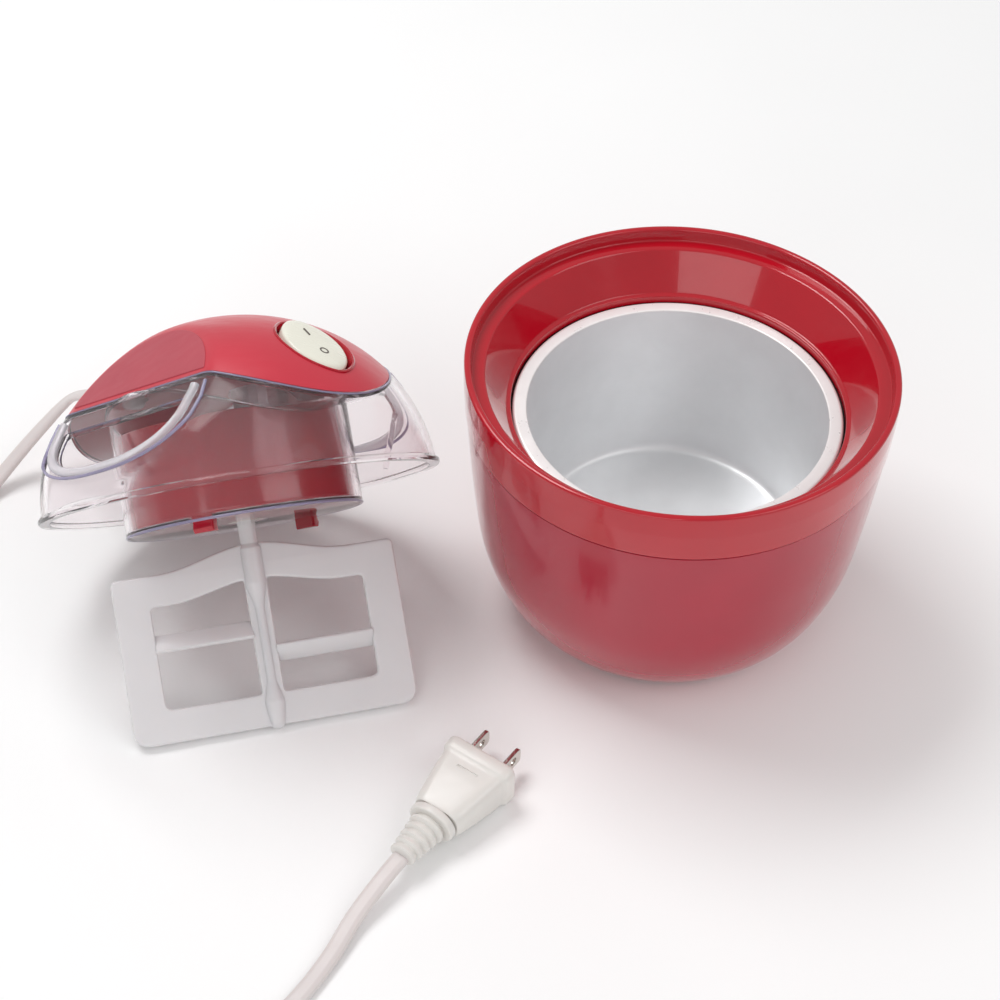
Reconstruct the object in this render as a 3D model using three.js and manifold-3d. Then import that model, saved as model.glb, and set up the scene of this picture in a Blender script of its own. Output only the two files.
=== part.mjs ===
// Small ice cream maker: a red base with the freezer bowl built in, and beside it the drive head
// (clear lid, red motor unit and paddle), leaning on the lid's rim and on the paddle's lower edge.
// Millimetres, +Z up. The origin is the centre of the base's underside, +Y points to the back.
import * as THREE from 'three';
import { mergeVertices } from 'three/addons/utils/BufferGeometryUtils.js';
import Module from 'manifold-3d';

const wasm = await Module();
wasm.setup();

// ---------------------------------------------------------------- driving sizes
const gap = 0.3; // clearance between pieces that touch

const base = {
  height: 105.2, // table to the top of the rim
  rimRadius: 71.4, // widest radius, just under the rim
  floorRadius: 48, // radius of the flat underside
  seamHeight: 86.5, // joint between the shell and the collar
  wall: 2.4,
  floorHeight: 1.5, // the non-slip pad lifts the shell this much
  floorWall: 2.5,
};
const bowl = {
  mouthRadius: 50.4, // inside, at the lip
  floorRadius: 46.6, // inside, where the wall meets the corner rounding
  floorHeight: 20.6, // top of the bowl's floor above the table
  lipHeight: 84.2,
  lipRadius: 55.2, // outside of the rolled lip
  wall: 1.2,
  corner: 3.5,
};
const lid = {
  radius: 67, // outside of the dome at its rim
  height: 60.8, // rim plane to where the dome's curve closes
  wall: 2.4,
  flangeRadius: 68.2,
  flangeHeight: 2.2,
  facetDistance: 53, // from the head's centre to each flat side
  facetRise: 39.4, // degrees that a flat side leans towards the top
  edgeLow: 23.5, // height of the cover's lower edge at the front
  edgeCurve: 0.009, // how fast that edge rises to the sides, per mm squared
  openingTop: -5.8, // chute opening, measured up along the flat side
  openingBottom: -25.4,
  openingHalfWidth: 32.5,
};
const well = {
  radius: 38.6, // inside of the motor well
  wall: 1.6,
  floor: -9, // underside of the well, below the rim plane
  holeRadius: 8,
};
const housing = { wall: 2, top: 25 };
const cover = { wall: 1.8 };
const gear = { module: 0.8, pinionTeeth: 10, wheelTeeth: 32, backlash: 0.24, thickness: 2.6, step: 4.3 };
const motor = { radius: 15, height: 24, wall: 1.4 };
const paddle = {
  halfWidth: 48,
  top: -22, // corners of the frame below the rim plane
  bottom: -78.4,
  thickness: 3,
  shaftRadius: 3,
  shaftTop: -1.2,
  tipRadius: 3,
  tipOverhang: 1.2, // the centre boss ends this far below the frame
};
const rocker = { length: 28, width: 21.5, recess: 3, throwDegrees: 12 };
const cord = { width: 6, thickness: 3.2, coilRadius: 33, turnsAcross: 2, turnsHigh: 2 };
const plug = { length: 27.5, width: 26, height: 16, reliefLength: 18.5, bladeSpacing: 12.7, bladeLength: 11 };

// ---------------------------------------------------------------- colours
const finish = {
  redGloss: { color: 0xb8102c, roughness: 0.15 },
  redSatin: { color: 0xc42b3c, roughness: 0.4 },
  redDark: { color: 0x8f0d20, roughness: 0.3 },
  clear: { color: 0xf0e8ee, roughness: 0.05, transparent: true, opacity: 0.35 },
  aluminium: { color: 0xb9bdc0, roughness: 0.4, metalness: 0.9 },
  gel: { color: 0x9fc4dc, roughness: 0.4 },
  milky: { color: 0xe6e4ea, roughness: 0.45 },
  cream: { color: 0xf2eedc, roughness: 0.35 },
  white: { color: 0xeae8e4, roughness: 0.5 },
  rubber: { color: 0x3a3a3c, roughness: 0.9 },
  black: { color: 0x1d1d1f, roughness: 0.5 },
  steel: { color: 0xa9adb2, roughness: 0.35, metalness: 1 },
  brass: { color: 0xc8a04c, roughness: 0.3, metalness: 1 },
  nylon: { color: 0xf4f2ea, roughness: 0.5 },
};

// ---------------------------------------------------------------- shape helpers
const object = new THREE.Group();
const rad = THREE.MathUtils.degToRad;

function addMesh(group, name, geometry, look) {
  geometry.computeVertexNormals();
  const mesh = new THREE.Mesh(geometry, new THREE.MeshStandardMaterial(finish[look]));
  mesh.name = name;
  group.add(mesh);
  return mesh;
}

function signedVolume(positions, index) {
  const [a, b, c] = [new THREE.Vector3(), new THREE.Vector3(), new THREE.Vector3()];
  let volume = 0;
  for (let i = 0; i < index.length; i += 3) {
    a.fromArray(positions, index[i] * 3);
    b.fromArray(positions, index[i + 1] * 3);
    c.fromArray(positions, index[i + 2] * 3);
    volume += a.dot(b.cross(c));
  }
  return volume;
}

// a geometry with shared vertices, no empty triangles and its faces pointing out
function closed(geometry) {
  const plain = geometry.clone();
  plain.deleteAttribute('normal');
  plain.deleteAttribute('uv');
  const merged = mergeVertices(plain, 1e-4);
  const source = merged.index.array;
  const index = [];
  for (let i = 0; i < source.length; i += 3) {
    const [a, b, c] = [source[i], source[i + 1], source[i + 2]];
    if (a !== b && b !== c && c !== a) index.push(a, b, c);
  }
  if (signedVolume(merged.attributes.position.array, index) < 0) index.reverse();
  merged.setIndex(index);
  return merged;
}

function toSolid(geometry) {
  const shape = closed(geometry);
  return new wasm.Manifold(new wasm.Mesh({
    numProp: 3,
    vertProperties: new Float32Array(shape.attributes.position.array),
    triVerts: new Uint32Array(shape.index.array),
  }));
}

function toGeometry(solid) {
  const mesh = solid.getMesh();
  const geometry = new THREE.BufferGeometry();
  geometry.setAttribute('position', new THREE.BufferAttribute(new Float32Array(mesh.vertProperties), 3));
  geometry.setIndex(new THREE.BufferAttribute(new Uint32Array(mesh.triVerts), 1));
  return geometry;
}

// turned about Z from [radius, height] pairs
function turned(profile, segments) {
  const points = profile.map(([r, z]) => new THREE.Vector2(Math.max(r, 0), z));
  return closed(new THREE.LatheGeometry(points, segments).rotateX(Math.PI / 2));
}

// the same, for a ring whose profile closes on itself
function turnedRing(profile, segments) {
  return turned([...profile, profile[0]], segments);
}

function rod(radius, bottom, top, segments = 20) {
  return turned([[0, bottom], [radius, bottom], [radius, top], [0, top]], segments);
}

function tube(inner, outer, bottom, top, segments = 32) {
  return turnedRing([[inner, bottom], [outer, bottom], [outer, top], [inner, top]], segments);
}

function prism(outline, bottom, top) {
  const shape = new THREE.Shape(outline.map(([x, y]) => new THREE.Vector2(x, y)));
  const geometry = new THREE.ExtrudeGeometry(shape, { depth: top - bottom, bevelEnabled: false });
  return geometry.translate(0, 0, bottom);
}

function box(x, y, z, cx = 0, cy = 0, cz = 0) {
  return new THREE.BoxGeometry(x, y, z).translate(cx, cy, cz);
}

function roundedRectangle(halfX, halfY, radius, steps = 3) {
  const points = [];
  for (let corner = 0; corner < 4; corner += 1) {
    const cx = (corner === 0 || corner === 3 ? 1 : -1) * (halfX - radius);
    const cy = (corner < 2 ? 1 : -1) * (halfY - radius);
    for (let i = 0; i <= steps; i += 1) {
      const angle = (corner + i / steps) * Math.PI / 2;
      points.push([cx + radius * Math.cos(angle), cy + radius * Math.sin(angle)]);
    }
  }
  return points;
}

function arcPoints(cx, cz, radius, from, to, steps) {
  return Array.from({ length: steps + 1 }, (_, i) => {
    const angle = rad(from + (to - from) * i / steps);
    return [cx + radius * Math.cos(angle), cz + radius * Math.sin(angle)];
  });
}

// a closed skin over rings of equally many points, with flat ends
function loft(rings) {
  const count = rings[0].length;
  const positions = rings.flat(2);
  const index = [];
  for (let r = 0; r < rings.length - 1; r += 1) {
    for (let i = 0; i < count; i += 1) {
      const [a, b] = [r * count + i, r * count + (i + 1) % count];
      const [c, d] = [a + count, b + count];
      index.push(a, b, d, a, d, c);
    }
  }
  const last = (rings.length - 1) * count;
  for (let i = 1; i < count - 1; i += 1) {
    index.push(0, i + 1, i);
    index.push(last, last + i, last + i + 1);
  }
  const geometry = new THREE.BufferGeometry();
  geometry.setAttribute('position', new THREE.Float32BufferAttribute(positions, 3));
  geometry.setIndex(index);
  return closed(geometry);
}

const unite = (first, ...others) => others.reduce((sum, next) => sum.add(next), first);
const cut = (first, ...others) => others.reduce((sum, next) => sum.subtract(next), first);

// ---------------------------------------------------------------- base with the freezer bowl
const bigSegments = 44;
const baseGroup = new THREE.Group();
object.add(baseGroup);

// the shell's side from its flat underside to the seam, from shares of its height and its bulge
const seamRadius = base.rimRadius - 0.8;
function shellSide(inset, lowest) {
  const stations = [[0.02, 0.04], [0.09, 0.28], [0.18, 0.51], [0.35, 0.74], [0.6, 0.87], [1, 1]];
  const knots = stations.map(([rise, bulge]) => new THREE.Vector2(
    base.floorRadius + bulge * (seamRadius - base.floorRadius) - inset,
    Math.max(rise * base.seamHeight, lowest),
  ));
  return new THREE.SplineCurve(knots).getPoints(8).map((p) => [p.x, p.y]);
}

const plugHole = 5;
const shellFloorTop = base.floorHeight + base.floorWall;
function buildBaseShell() {
  const outside = shellSide(0, base.floorHeight);
  const inside = shellSide(base.wall, shellFloorTop).filter(([, z]) => z > shellFloorTop + 1);
  const profile = [
    [plugHole, base.floorHeight],
    [base.floorRadius - 3, base.floorHeight],
    ...outside,
    ...inside.reverse(),
    [base.floorRadius - 5, shellFloorTop],
    [plugHole, shellFloorTop],
  ];
  addMesh(baseGroup, 'base_shell', turnedRing(profile, bigSegments), 'redGloss');
}

const mouth = bowl.lipRadius + 1.4; // the collar's opening around the bowl's lip
const ledgeHeight = base.height - 4.8;
const ledgeRadius = lid.flangeRadius + 0.8;
function buildCollar() {
  const start = base.seamHeight + gap;
  const profile = [
    [seamRadius + 0.3, start],
    [base.rimRadius, base.seamHeight + 10.4],
    ...arcPoints(base.rimRadius - 1.3, base.height - 1.3, 1.3, 0, 150, 5),
    [ledgeRadius, base.height - 2.6],
    [ledgeRadius - 0.2, ledgeHeight],
    [ledgeRadius - 4.4, ledgeHeight - 0.4],
    [ledgeRadius - 5.4, ledgeHeight - 1.9],
    [mouth + 1.3, bowl.lipHeight + 2.4],
    [mouth + 0.3, bowl.lipHeight + 2.2],
    [mouth, bowl.lipHeight + 1.4],
    [mouth, bowl.lipHeight - 0.9],
    [mouth + 1.6, bowl.lipHeight - 0.9],
    [mouth + 2.8, bowl.lipHeight + 0.8],
    [ledgeRadius - 3.6, ledgeHeight - 3.4],
    [ledgeRadius - 1.2, ledgeHeight - 3.2],
    [seamRadius - base.wall, ledgeHeight - 7],
    [seamRadius - base.wall, start],
  ];
  addMesh(baseGroup, 'base_collar', turnedRing(profile, bigSegments), 'redGloss');
}

function buildBowl() {
  const outerFloor = bowl.floorHeight - bowl.wall;
  const outerCorner = bowl.corner + bowl.wall;
  const cornerRadius = bowl.floorRadius - bowl.corner;
  const lipRoll = 1.3;
  const profile = [
    [0, outerFloor],
    [cornerRadius, outerFloor],
    ...arcPoints(cornerRadius, outerFloor + outerCorner, outerCorner, -60, 0, 3),
    [bowl.mouthRadius + bowl.wall, bowl.lipHeight - 2.2],
    [bowl.lipRadius - 1.4, bowl.lipHeight - 2.2],
    ...arcPoints(bowl.lipRadius - lipRoll, bowl.lipHeight - lipRoll, lipRoll, -40, 90, 4),
    [bowl.mouthRadius + 1.4, bowl.lipHeight],
    [bowl.mouthRadius, bowl.lipHeight - 1.2],
    ...arcPoints(cornerRadius, bowl.floorHeight + bowl.corner, bowl.corner, 0, -90, 4),
    [0, bowl.floorHeight],
  ];
  addMesh(baseGroup, 'freezer_bowl', turned(profile, bigSegments), 'aluminium');
}

function buildBaseInside() {
  const sealTop = bowl.lipHeight - 2.2 - gap;
  const sealInner = bowl.mouthRadius + bowl.wall + gap;
  const seal = tube(sealInner, mouth + 1.2, sealTop - 1.8, sealTop - 0.1, 40);
  addMesh(baseGroup, 'bowl_seal', seal, 'rubber');

  // the freezing liquid fills the space between the shell and the bowl, with the bowl's shape inside
  const gelTop = sealTop - 5;
  const side = shellSide(base.wall + gap, shellFloorTop + 1).filter(([, z]) => z < gelTop);
  const gel = [
    [0, shellFloorTop + 1.2],
    [base.floorRadius - 6, shellFloorTop + 1.2],
    ...side.filter(([, z]) => z > shellFloorTop + 3).filter((_, i) => i % 2 === 0),
    [side.at(-1)[0], gelTop],
    [bowl.mouthRadius + bowl.wall + 0.6, gelTop],
    [bowl.floorRadius + bowl.wall + 0.6, bowl.floorHeight + bowl.corner],
    [bowl.floorRadius + bowl.wall, bowl.floorHeight - bowl.wall - 0.9],
    [0, bowl.floorHeight - bowl.wall - 0.9],
  ];
  addMesh(baseGroup, 'coolant_gel', turned(gel, 32), 'gel');

  const stopper = turned([
    [0, base.floorHeight + 0.2],
    [plugHole - gap, base.floorHeight + 0.2],
    [plugHole - gap, shellFloorTop + 0.5],
    [0, shellFloorTop + 0.5],
  ], 20);
  addMesh(baseGroup, 'filler_stopper', stopper, 'rubber');

  const padRadius = base.floorRadius - 6;
  const pad = turned([
    [0, 0],
    [padRadius - 0.6, 0],
    [padRadius, 0.5],
    [padRadius, base.floorHeight - gap],
    [0, base.floorHeight - gap],
  ], 32);
  addMesh(baseGroup, 'base_pad', pad, 'rubber');
}

// ---------------------------------------------------------------- head: placing
// The head's own frame: Z up its axis from the rim plane, X towards its switch.
// It leans so that the flange and the paddle's centre boss both reach the table.
const tipCentre = -paddle.bottom + paddle.tipOverhang - paddle.tipRadius;
const reach = Math.hypot(lid.flangeRadius, tipCentre);
const axisRise = Math.acos(paddle.tipRadius / reach) - Math.atan2(tipCentre, lid.flangeRadius);
const headTilt = Math.PI / 2 - axisRise;
const headTurn = rad(14.7); // the leaning head is turned a little on the table
const switchTurn = rad(-52); // the switch side, about the head's own axis
const restGap = 0.05;
const betweenHeadAndBase = 6.2;
const headCentre = new THREE.Vector3(
  -(base.rimRadius + betweenHeadAndBase + lid.flangeRadius),
  -14.8,
  lid.flangeRadius * Math.cos(axisRise) + restGap,
);

const headPlace = new THREE.Group();
headPlace.position.copy(headCentre);
headPlace.rotation.z = headTurn;
object.add(headPlace);
const headLean = new THREE.Group();
headLean.rotation.x = -headTilt;
headPlace.add(headLean);
const head = new THREE.Group();
head.rotation.z = switchTurn;
headLean.add(head);

// ---------------------------------------------------------------- clear lid
const facetAngle = rad(lid.facetRise);

// the dome with its two flat sides, shrunk by an inset; solid all through, down to the height given
function domeSolid(inset, bottom, segments = bigSegments) {
  const [a, b] = [lid.radius - inset, lid.height - inset];
  const steps = 12;
  const profile = [[0, bottom], [a, bottom]];
  for (let i = 0; i <= steps; i += 1) {
    const angle = (i / steps) * Math.PI / 2;
    profile.push([a * Math.cos(angle), b * Math.sin(angle)]);
  }
  let dome = toSolid(turned(profile, segments));
  const depth = 60;
  for (const side of [1, -1]) {
    const slab = box(200, depth, 200, 0, 0, 0);
    slab.translate(0, lid.facetDistance - inset + depth / 2, 0);
    slab.rotateX(facetAngle);
    if (side < 0) slab.rotateZ(Math.PI);
    dome = dome.subtract(toSolid(slab));
  }
  return dome;
}

// everything above the cover's curved lower edge, lifted or lowered by a shift
function aboveEdge(shift) {
  const half = 80;
  const steps = 14;
  const outline = [[-half, 120], [half, 120]];
  for (let i = 0; i <= steps; i += 1) {
    const y = half - (2 * half * i) / steps;
    const rise = Math.min(lid.edgeLow + lid.edgeCurve * y * y, 60);
    outline.push([y, rise + shift]);
  }
  const geometry = prism(outline, -90, 90);
  geometry.rotateX(Math.PI / 2);
  geometry.rotateZ(Math.PI / 2);
  return toSolid(geometry);
}

// the half-oval chute opening, as a bar that runs square to one flat side
function chuteBar(side) {
  const shoulder = 1; // the two upper corners are cut off by this much, and three times that across
  const depth = lid.openingTop - lid.openingBottom - shoulder;
  const halfWidth = lid.openingHalfWidth;
  const outline = [[halfWidth - 3 * shoulder, lid.openingTop], [-halfWidth + 3 * shoulder, lid.openingTop]];
  const squared = (share) => Math.sign(share) * Math.abs(share) ** 0.83; // an oval with fuller corners
  const steps = 14;
  for (let i = 0; i <= steps; i += 1) {
    const angle = Math.PI + (i / steps) * Math.PI;
    const height = lid.openingTop - shoulder + depth * squared(Math.sin(angle));
    outline.push([halfWidth * squared(Math.cos(angle)), height]);
  }
  const bar = prism(outline, -6, 6);
  bar.rotateX(Math.PI / 2);
  bar.translate(0, lid.facetDistance, 0);
  bar.rotateX(facetAngle);
  if (side < 0) bar.rotateZ(Math.PI);
  return toSolid(bar);
}

const deckThickness = 1.8; // the ledge inside the dome that carries the motor unit's cover
const tabs = [
  { name: 'latch_tab_front', angle: rad(-63) },
  { name: 'latch_tab_back', angle: rad(102) },
];
const tabRadius = well.radius - 3.2;
const tabSize = { x: 4, y: 7, up: 5.2, down: 3.6, hook: 0.8 };

function tabSlot(tab, spareX, spareY, bottom, top) {
  const slot = box(tabSize.x + spareX, tabSize.y + spareY, top - bottom, tabRadius, 0, (top + bottom) / 2);
  return toSolid(slot.rotateZ(tab.angle));
}

function buildLid() {
  const bottom = 0.2;
  const wall = cut(domeSolid(0, bottom), domeSolid(lid.wall, bottom - 5), aboveEdge(-gap));
  const deck = cut(
    domeSolid(0, bottom).intersect(aboveEdge(-gap - deckThickness)),
    aboveEdge(-gap),
    toSolid(rod(well.radius + well.wall + gap, 0, 90, bigSegments)),
  );
  const flange = toSolid(turnedRing([
    [lid.radius - lid.wall, 0],
    [lid.flangeRadius, 0],
    [lid.flangeRadius, lid.flangeHeight * 0.6],
    [lid.flangeRadius - 0.8, lid.flangeHeight],
    [lid.radius - lid.wall, lid.flangeHeight],
  ], bigSegments));
  const wellInner = toSolid(rod(well.radius, well.floor + well.wall, 90, bigSegments));
  const dome = cut(unite(wall, deck, flange), wellInner, chuteBar(-1), chuteBar(1));
  addMesh(head, 'clear_lid', toGeometry(dome), 'clear');

  const wellOuter = toSolid(rod(well.radius + well.wall, well.floor, 60, bigSegments))
    .intersect(domeSolid(lid.wall + gap, well.floor - 1));
  let cup = cut(wellOuter, aboveEdge(-gap), wellInner, toSolid(rod(well.holeRadius, well.floor - 5, 0, 24)));
  for (const tab of tabs) {
    cup = cup.subtract(tabSlot(tab, 2.2, 1.4, well.floor - 4, well.floor + 4));
  }
  addMesh(head, 'lid_well', toGeometry(cup), 'clear');
}

// ---------------------------------------------------------------- motor unit
const domeHeight = (radius) => lid.height * Math.sqrt(1 - (radius / lid.radius) ** 2);

// the rocker sits square to the dome where its middle is
const rockerRadius = 47.5;
const rockerHeight = domeHeight(rockerRadius);
const rockerLean = Math.atan2(rockerRadius / lid.radius ** 2, rockerHeight / lid.height ** 2);

function atRocker(geometry) {
  return geometry.rotateY(rockerLean).translate(rockerRadius, 0, rockerHeight);
}

function ovalOutline(halfLength, halfWidth, steps = 24) {
  return Array.from({ length: steps }, (_, i) => {
    const angle = (i / steps) * 2 * Math.PI;
    return [halfLength * Math.cos(angle), halfWidth * Math.sin(angle)];
  });
}

// the cord leaves the cover opposite the switch, through a relief from start to length outside it
const cordExit = { radius: 50, rise: rad(20), hole: cord.width / 2 + 1.4, start: 3, length: 22 };
const cordExitHeight = domeHeight(cordExit.radius) + gap;
function atExit(geometry) {
  geometry.rotateY(-Math.PI / 2 + cordExit.rise);
  return geometry.translate(-cordExit.radius, 0, cordExitHeight);
}

function buildCover() {
  const outside = domeSolid(0, 5).intersect(aboveEdge(0));
  let shell = cut(outside, domeSolid(cover.wall, 0));
  const socket = atRocker(prism(ovalOutline(rocker.length / 2 + 2.6, rocker.width / 2 + 2.2), -9, 4));
  const window = atRocker(prism(ovalOutline(rocker.length / 2 + gap, rocker.width / 2 + gap), -12, 8));
  shell = unite(shell, toSolid(socket).intersect(domeSolid(0.9, 0)));
  shell = cut(shell, toSolid(window), toSolid(atExit(rod(cordExit.hole, -8, 12, 16))));
  addMesh(head, 'top_cover', toGeometry(shell), 'redSatin');
}

const housingRadius = well.radius - 0.8;
const housingFloor = well.floor + well.wall + gap;
const floorTop = housingFloor + housing.wall;
const hubRadius = 6;

function buildHousing() {
  const inner = housingRadius - housing.wall;
  const hubHole = hubRadius + 1.6;
  const profile = [
    [hubHole, housingFloor],
    [housingRadius - 1, housingFloor],
    [housingRadius, housingFloor + 1],
    [housingRadius, housing.top],
    [inner, housing.top],
    [inner, floorTop],
    [hubHole, floorTop],
  ];
  let body = toSolid(turnedRing(profile, 40));
  for (const tab of tabs) {
    const top = housingFloor + tabSize.up + gap;
    body = body.subtract(tabSlot(tab, 2 * gap, 2 * gap, housingFloor - 4, top));
  }
  addMesh(head, 'motor_housing', toGeometry(body), 'redDark');

  const bush = tube(hubRadius + gap, hubHole - gap, housingFloor + 0.2, floorTop + 1, 24);
  addMesh(head, 'drive_bush', bush, 'brass');

  for (const tab of tabs) {
    const foot = well.floor - tabSize.down;
    const prong = [
      [-tabSize.x / 2, housingFloor + tabSize.up],
      [-tabSize.x / 2, foot],
      [tabSize.x / 2, foot],
      [tabSize.x / 2 + tabSize.hook, foot + 1.4],
      [tabSize.x / 2, well.floor - gap],
      [tabSize.x / 2, housingFloor + tabSize.up],
    ];
    const geometry = prism(prong, -tabSize.y / 2, tabSize.y / 2).rotateX(Math.PI / 2);
    geometry.translate(tabRadius, 0, 0).rotateZ(tab.angle);
    addMesh(head, tab.name, geometry, 'redDark');
  }
}

// ---------------------------------------------------------------- drive train
// motor pinion -> first wheel -> second wheel -> output wheel, all three steps alike
const centreDistance = gear.module * (gear.pinionTeeth + gear.wheelTeeth) / 2 + gear.backlash;
const layer = (step) => floorTop + 1.6 + gear.step * step;
const pinRadius = 1.8;
const motorShaft = 1.1;
const secondPlace = [0, -centreDistance];
const motorSide = rad(60);
const motorPlace = [centreDistance * Math.cos(motorSide), centreDistance * Math.sin(motorSide)];
const plateBottom = layer(3) + 0.6;
const plateTop = plateBottom + 1.6;
const motorBottom = plateTop + gap;

const circle = (radius, steps) => ovalOutline(radius, radius, steps);
const at = (geometry, [x, y]) => geometry.translate(x, y, 0);

const screw = { shank: 1, head: 2, headHeight: 1.2, length: 4.4, circle: 9 };
const motorScrewPlaces = [motorSide + Math.PI / 2, motorSide - Math.PI / 2].map((angle) => [
  motorPlace[0] + screw.circle * Math.cos(angle),
  motorPlace[1] + screw.circle * Math.sin(angle),
]);

// a wheel's turn that puts the gap between two teeth where its neighbour's tooth points
const meshTurn = (teeth, direction) => direction + Math.PI / teeth;

function gearOutline(teeth, turn) {
  const pitch = gear.module * teeth / 2;
  const tip = pitch + gear.module * 0.9;
  const root = pitch - gear.module * 1.15;
  const step = (2 * Math.PI) / teeth;
  const points = [];
  for (let i = 0; i < teeth; i += 1) {
    const middle = turn + i * step;
    for (const [share, radius] of [[-0.3, root], [-0.11, tip], [0.11, tip], [0.3, root]]) {
      points.push([radius * Math.cos(middle + share * step), radius * Math.sin(middle + share * step)]);
    }
  }
  return points;
}

function bored(outline, bore, bottom, top) {
  const shape = new THREE.Shape(outline.map(([x, y]) => new THREE.Vector2(x, y)));
  shape.holes.push(new THREE.Path(bore.map(([x, y]) => new THREE.Vector2(x, y)).reverse()));
  const geometry = new THREE.ExtrudeGeometry(shape, { depth: top - bottom, bevelEnabled: false });
  return geometry.translate(0, 0, bottom);
}

// a big wheel with the next pinion under it, both turning on one pin
function doubleWheel(name, place, step, wheelTurn, pinionTurn) {
  const bore = circle(pinRadius + gap, 16);
  const bottom = layer(step);
  const wheel = bored(gearOutline(gear.wheelTeeth, wheelTurn), bore, bottom, bottom + gear.thickness);
  const pinion = bored(gearOutline(gear.pinionTeeth, pinionTurn), bore, layer(step - 1), bottom + 0.1);
  const body = unite(toSolid(wheel), toSolid(pinion));
  addMesh(head, name, at(toGeometry(body), place), 'nylon');
}

function buildGears() {
  const down = -Math.PI / 2;

  // the output wheel's hub grips the paddle's six-sided shaft
  const bore = circle(paddle.shaftRadius + 0.35, 6);
  const bottom = layer(0);
  const teeth = gearOutline(gear.wheelTeeth, meshTurn(gear.wheelTeeth, down));
  const wheel = toSolid(bored(teeth, bore, bottom, bottom + gear.thickness));
  const hub = toSolid(bored(circle(hubRadius, 24), bore, well.floor + 0.4, bottom + 0.1));
  addMesh(head, 'output_wheel', toGeometry(unite(wheel, hub)), 'nylon');

  doubleWheel('second_wheel', secondPlace, 1, meshTurn(gear.wheelTeeth, -down), -down);
  doubleWheel('first_wheel', [0, 0], 2, meshTurn(gear.wheelTeeth, motorSide), down);

  const pins = [
    { name: 'first_pin', place: [0, 0], bottom: layer(1) - 0.6 },
    { name: 'second_pin', place: secondPlace, bottom: layer(0) - 0.8 },
  ];
  let plate = toSolid(rod(housingRadius - housing.wall - gap, plateBottom, plateTop, 40));
  plate = plate.subtract(toSolid(at(rod(5.4, plateBottom - 1, plateTop + 1), motorPlace)));
  for (const pin of pins) {
    plate = plate.subtract(toSolid(at(rod(pinRadius + gap, plateBottom - 1, plateTop + 1, 16), pin.place)));
    addMesh(head, pin.name, at(rod(pinRadius, pin.bottom, plateTop, 16), pin.place), 'steel');
  }
  for (const place of motorScrewPlaces) {
    plate = plate.subtract(toSolid(at(rod(screw.shank + gap, plateBottom - 1, plateTop + 1, 12), place)));
  }
  addMesh(head, 'gear_plate', toGeometry(plate), 'steel');
}

function buildMotor() {
  const top = motorBottom + motor.height;
  const bearing = motorShaft + 2;
  let can = toSolid(at(turnedRing([
    [bearing, motorBottom],
    [motor.radius, motorBottom],
    [motor.radius, top],
    [bearing, top],
    [bearing, top - motor.wall],
    [motor.radius - motor.wall, top - motor.wall],
    [motor.radius - motor.wall, motorBottom + motor.wall],
    [bearing, motorBottom + motor.wall],
  ], 28), motorPlace));
  motorScrewPlaces.forEach((place, i) => {
    can = can.subtract(toSolid(at(rod(screw.shank + gap, motorBottom - 1, motorBottom + 4, 12), place)));
    const headTop = plateBottom - gap;
    const body = turned([
      [0, headTop - screw.headHeight],
      [screw.head, headTop - screw.headHeight],
      [screw.head, headTop],
      [screw.shank, headTop],
      [screw.shank, headTop + screw.length],
      [0, headTop + screw.length],
    ], 12);
    addMesh(head, `motor_screw_${i + 1}`, at(body, place), 'steel');
  });
  addMesh(head, 'motor_can', toGeometry(can), 'steel');

  const magnet = tube(motor.radius - 5, motor.radius - motor.wall - gap, motorBottom + 5, top - 5, 24);
  addMesh(head, 'motor_magnet', at(magnet, motorPlace), 'black');

  const core = motor.radius - 5.6;
  const rotor = turned([
    [0, layer(2) - 0.4],
    [motorShaft, layer(2) - 0.4],
    [motorShaft, motorBottom + 5],
    [core, motorBottom + 5],
    [core, top - 5],
    [motorShaft, top - 5],
    [motorShaft, top + 0.8],
    [0, top + 0.8],
  ], 20);
  addMesh(head, 'motor_rotor', at(rotor, motorPlace), 'steel');

  const teeth = gearOutline(gear.pinionTeeth, motorSide + Math.PI);
  const pinion = bored(teeth, circle(motorShaft + gap, 14), layer(2), layer(2) + gear.thickness);
  addMesh(head, 'motor_pinion', at(closed(pinion), motorPlace), 'brass');
}

// ---------------------------------------------------------------- switch
function buildSwitch() {
  const outline = ovalOutline(rocker.length / 2 - 0.2, rocker.width / 2 - 0.2);
  const button = prism(outline, -rocker.recess * 2, 0.6);
  button.translate(0, 0, rocker.recess);
  button.rotateY(rad(rocker.throwDegrees / 2));
  button.translate(0, 0, -rocker.recess);
  addMesh(head, 'rocker_button', atRocker(button), 'cream');
  const body = prism(roundedRectangle(8, 6, 1.5), -17, -8.2);
  addMesh(head, 'switch_body', atRocker(body), 'black');
}

// ---------------------------------------------------------------- cord parts on the cover
function buildRelief() {
  const ribs = 5;
  const { start, length } = cordExit;
  const spigot = cordExit.hole - gap;
  const profile = [[0, -6], [spigot, -6], [spigot, start], [cordExit.hole + 1, start]];
  for (let i = 0; i < ribs; i += 1) {
    const share = i / ribs;
    const radius = THREE.MathUtils.lerp(cordExit.hole + 0.6, cord.width / 2 + 0.6, share);
    const from = start + (length - start) * share + 0.4;
    const pitch = (length - start) / ribs;
    profile.push([radius, from], [radius, from + pitch * 0.6], [radius - 0.8, from + pitch * 0.66]);
    profile.push([radius - 0.8, from + pitch * 0.9]);
  }
  profile.push([cord.width / 2, length], [0, length]);
  addMesh(head, 'cord_relief', atExit(turned(profile, 12)), 'white');
}

// ---------------------------------------------------------------- paddle
const paddleTurn = -switchTurn; // the blade lies flat across, seen from the front

// how far an edge rises towards the shaft, a wave that fades out at the distance given
function crown(x, height, fadeOut) {
  return height * (0.5 + 0.5 * Math.cos(Math.min(Math.abs(x) / fadeOut, 1) * Math.PI));
}

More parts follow.
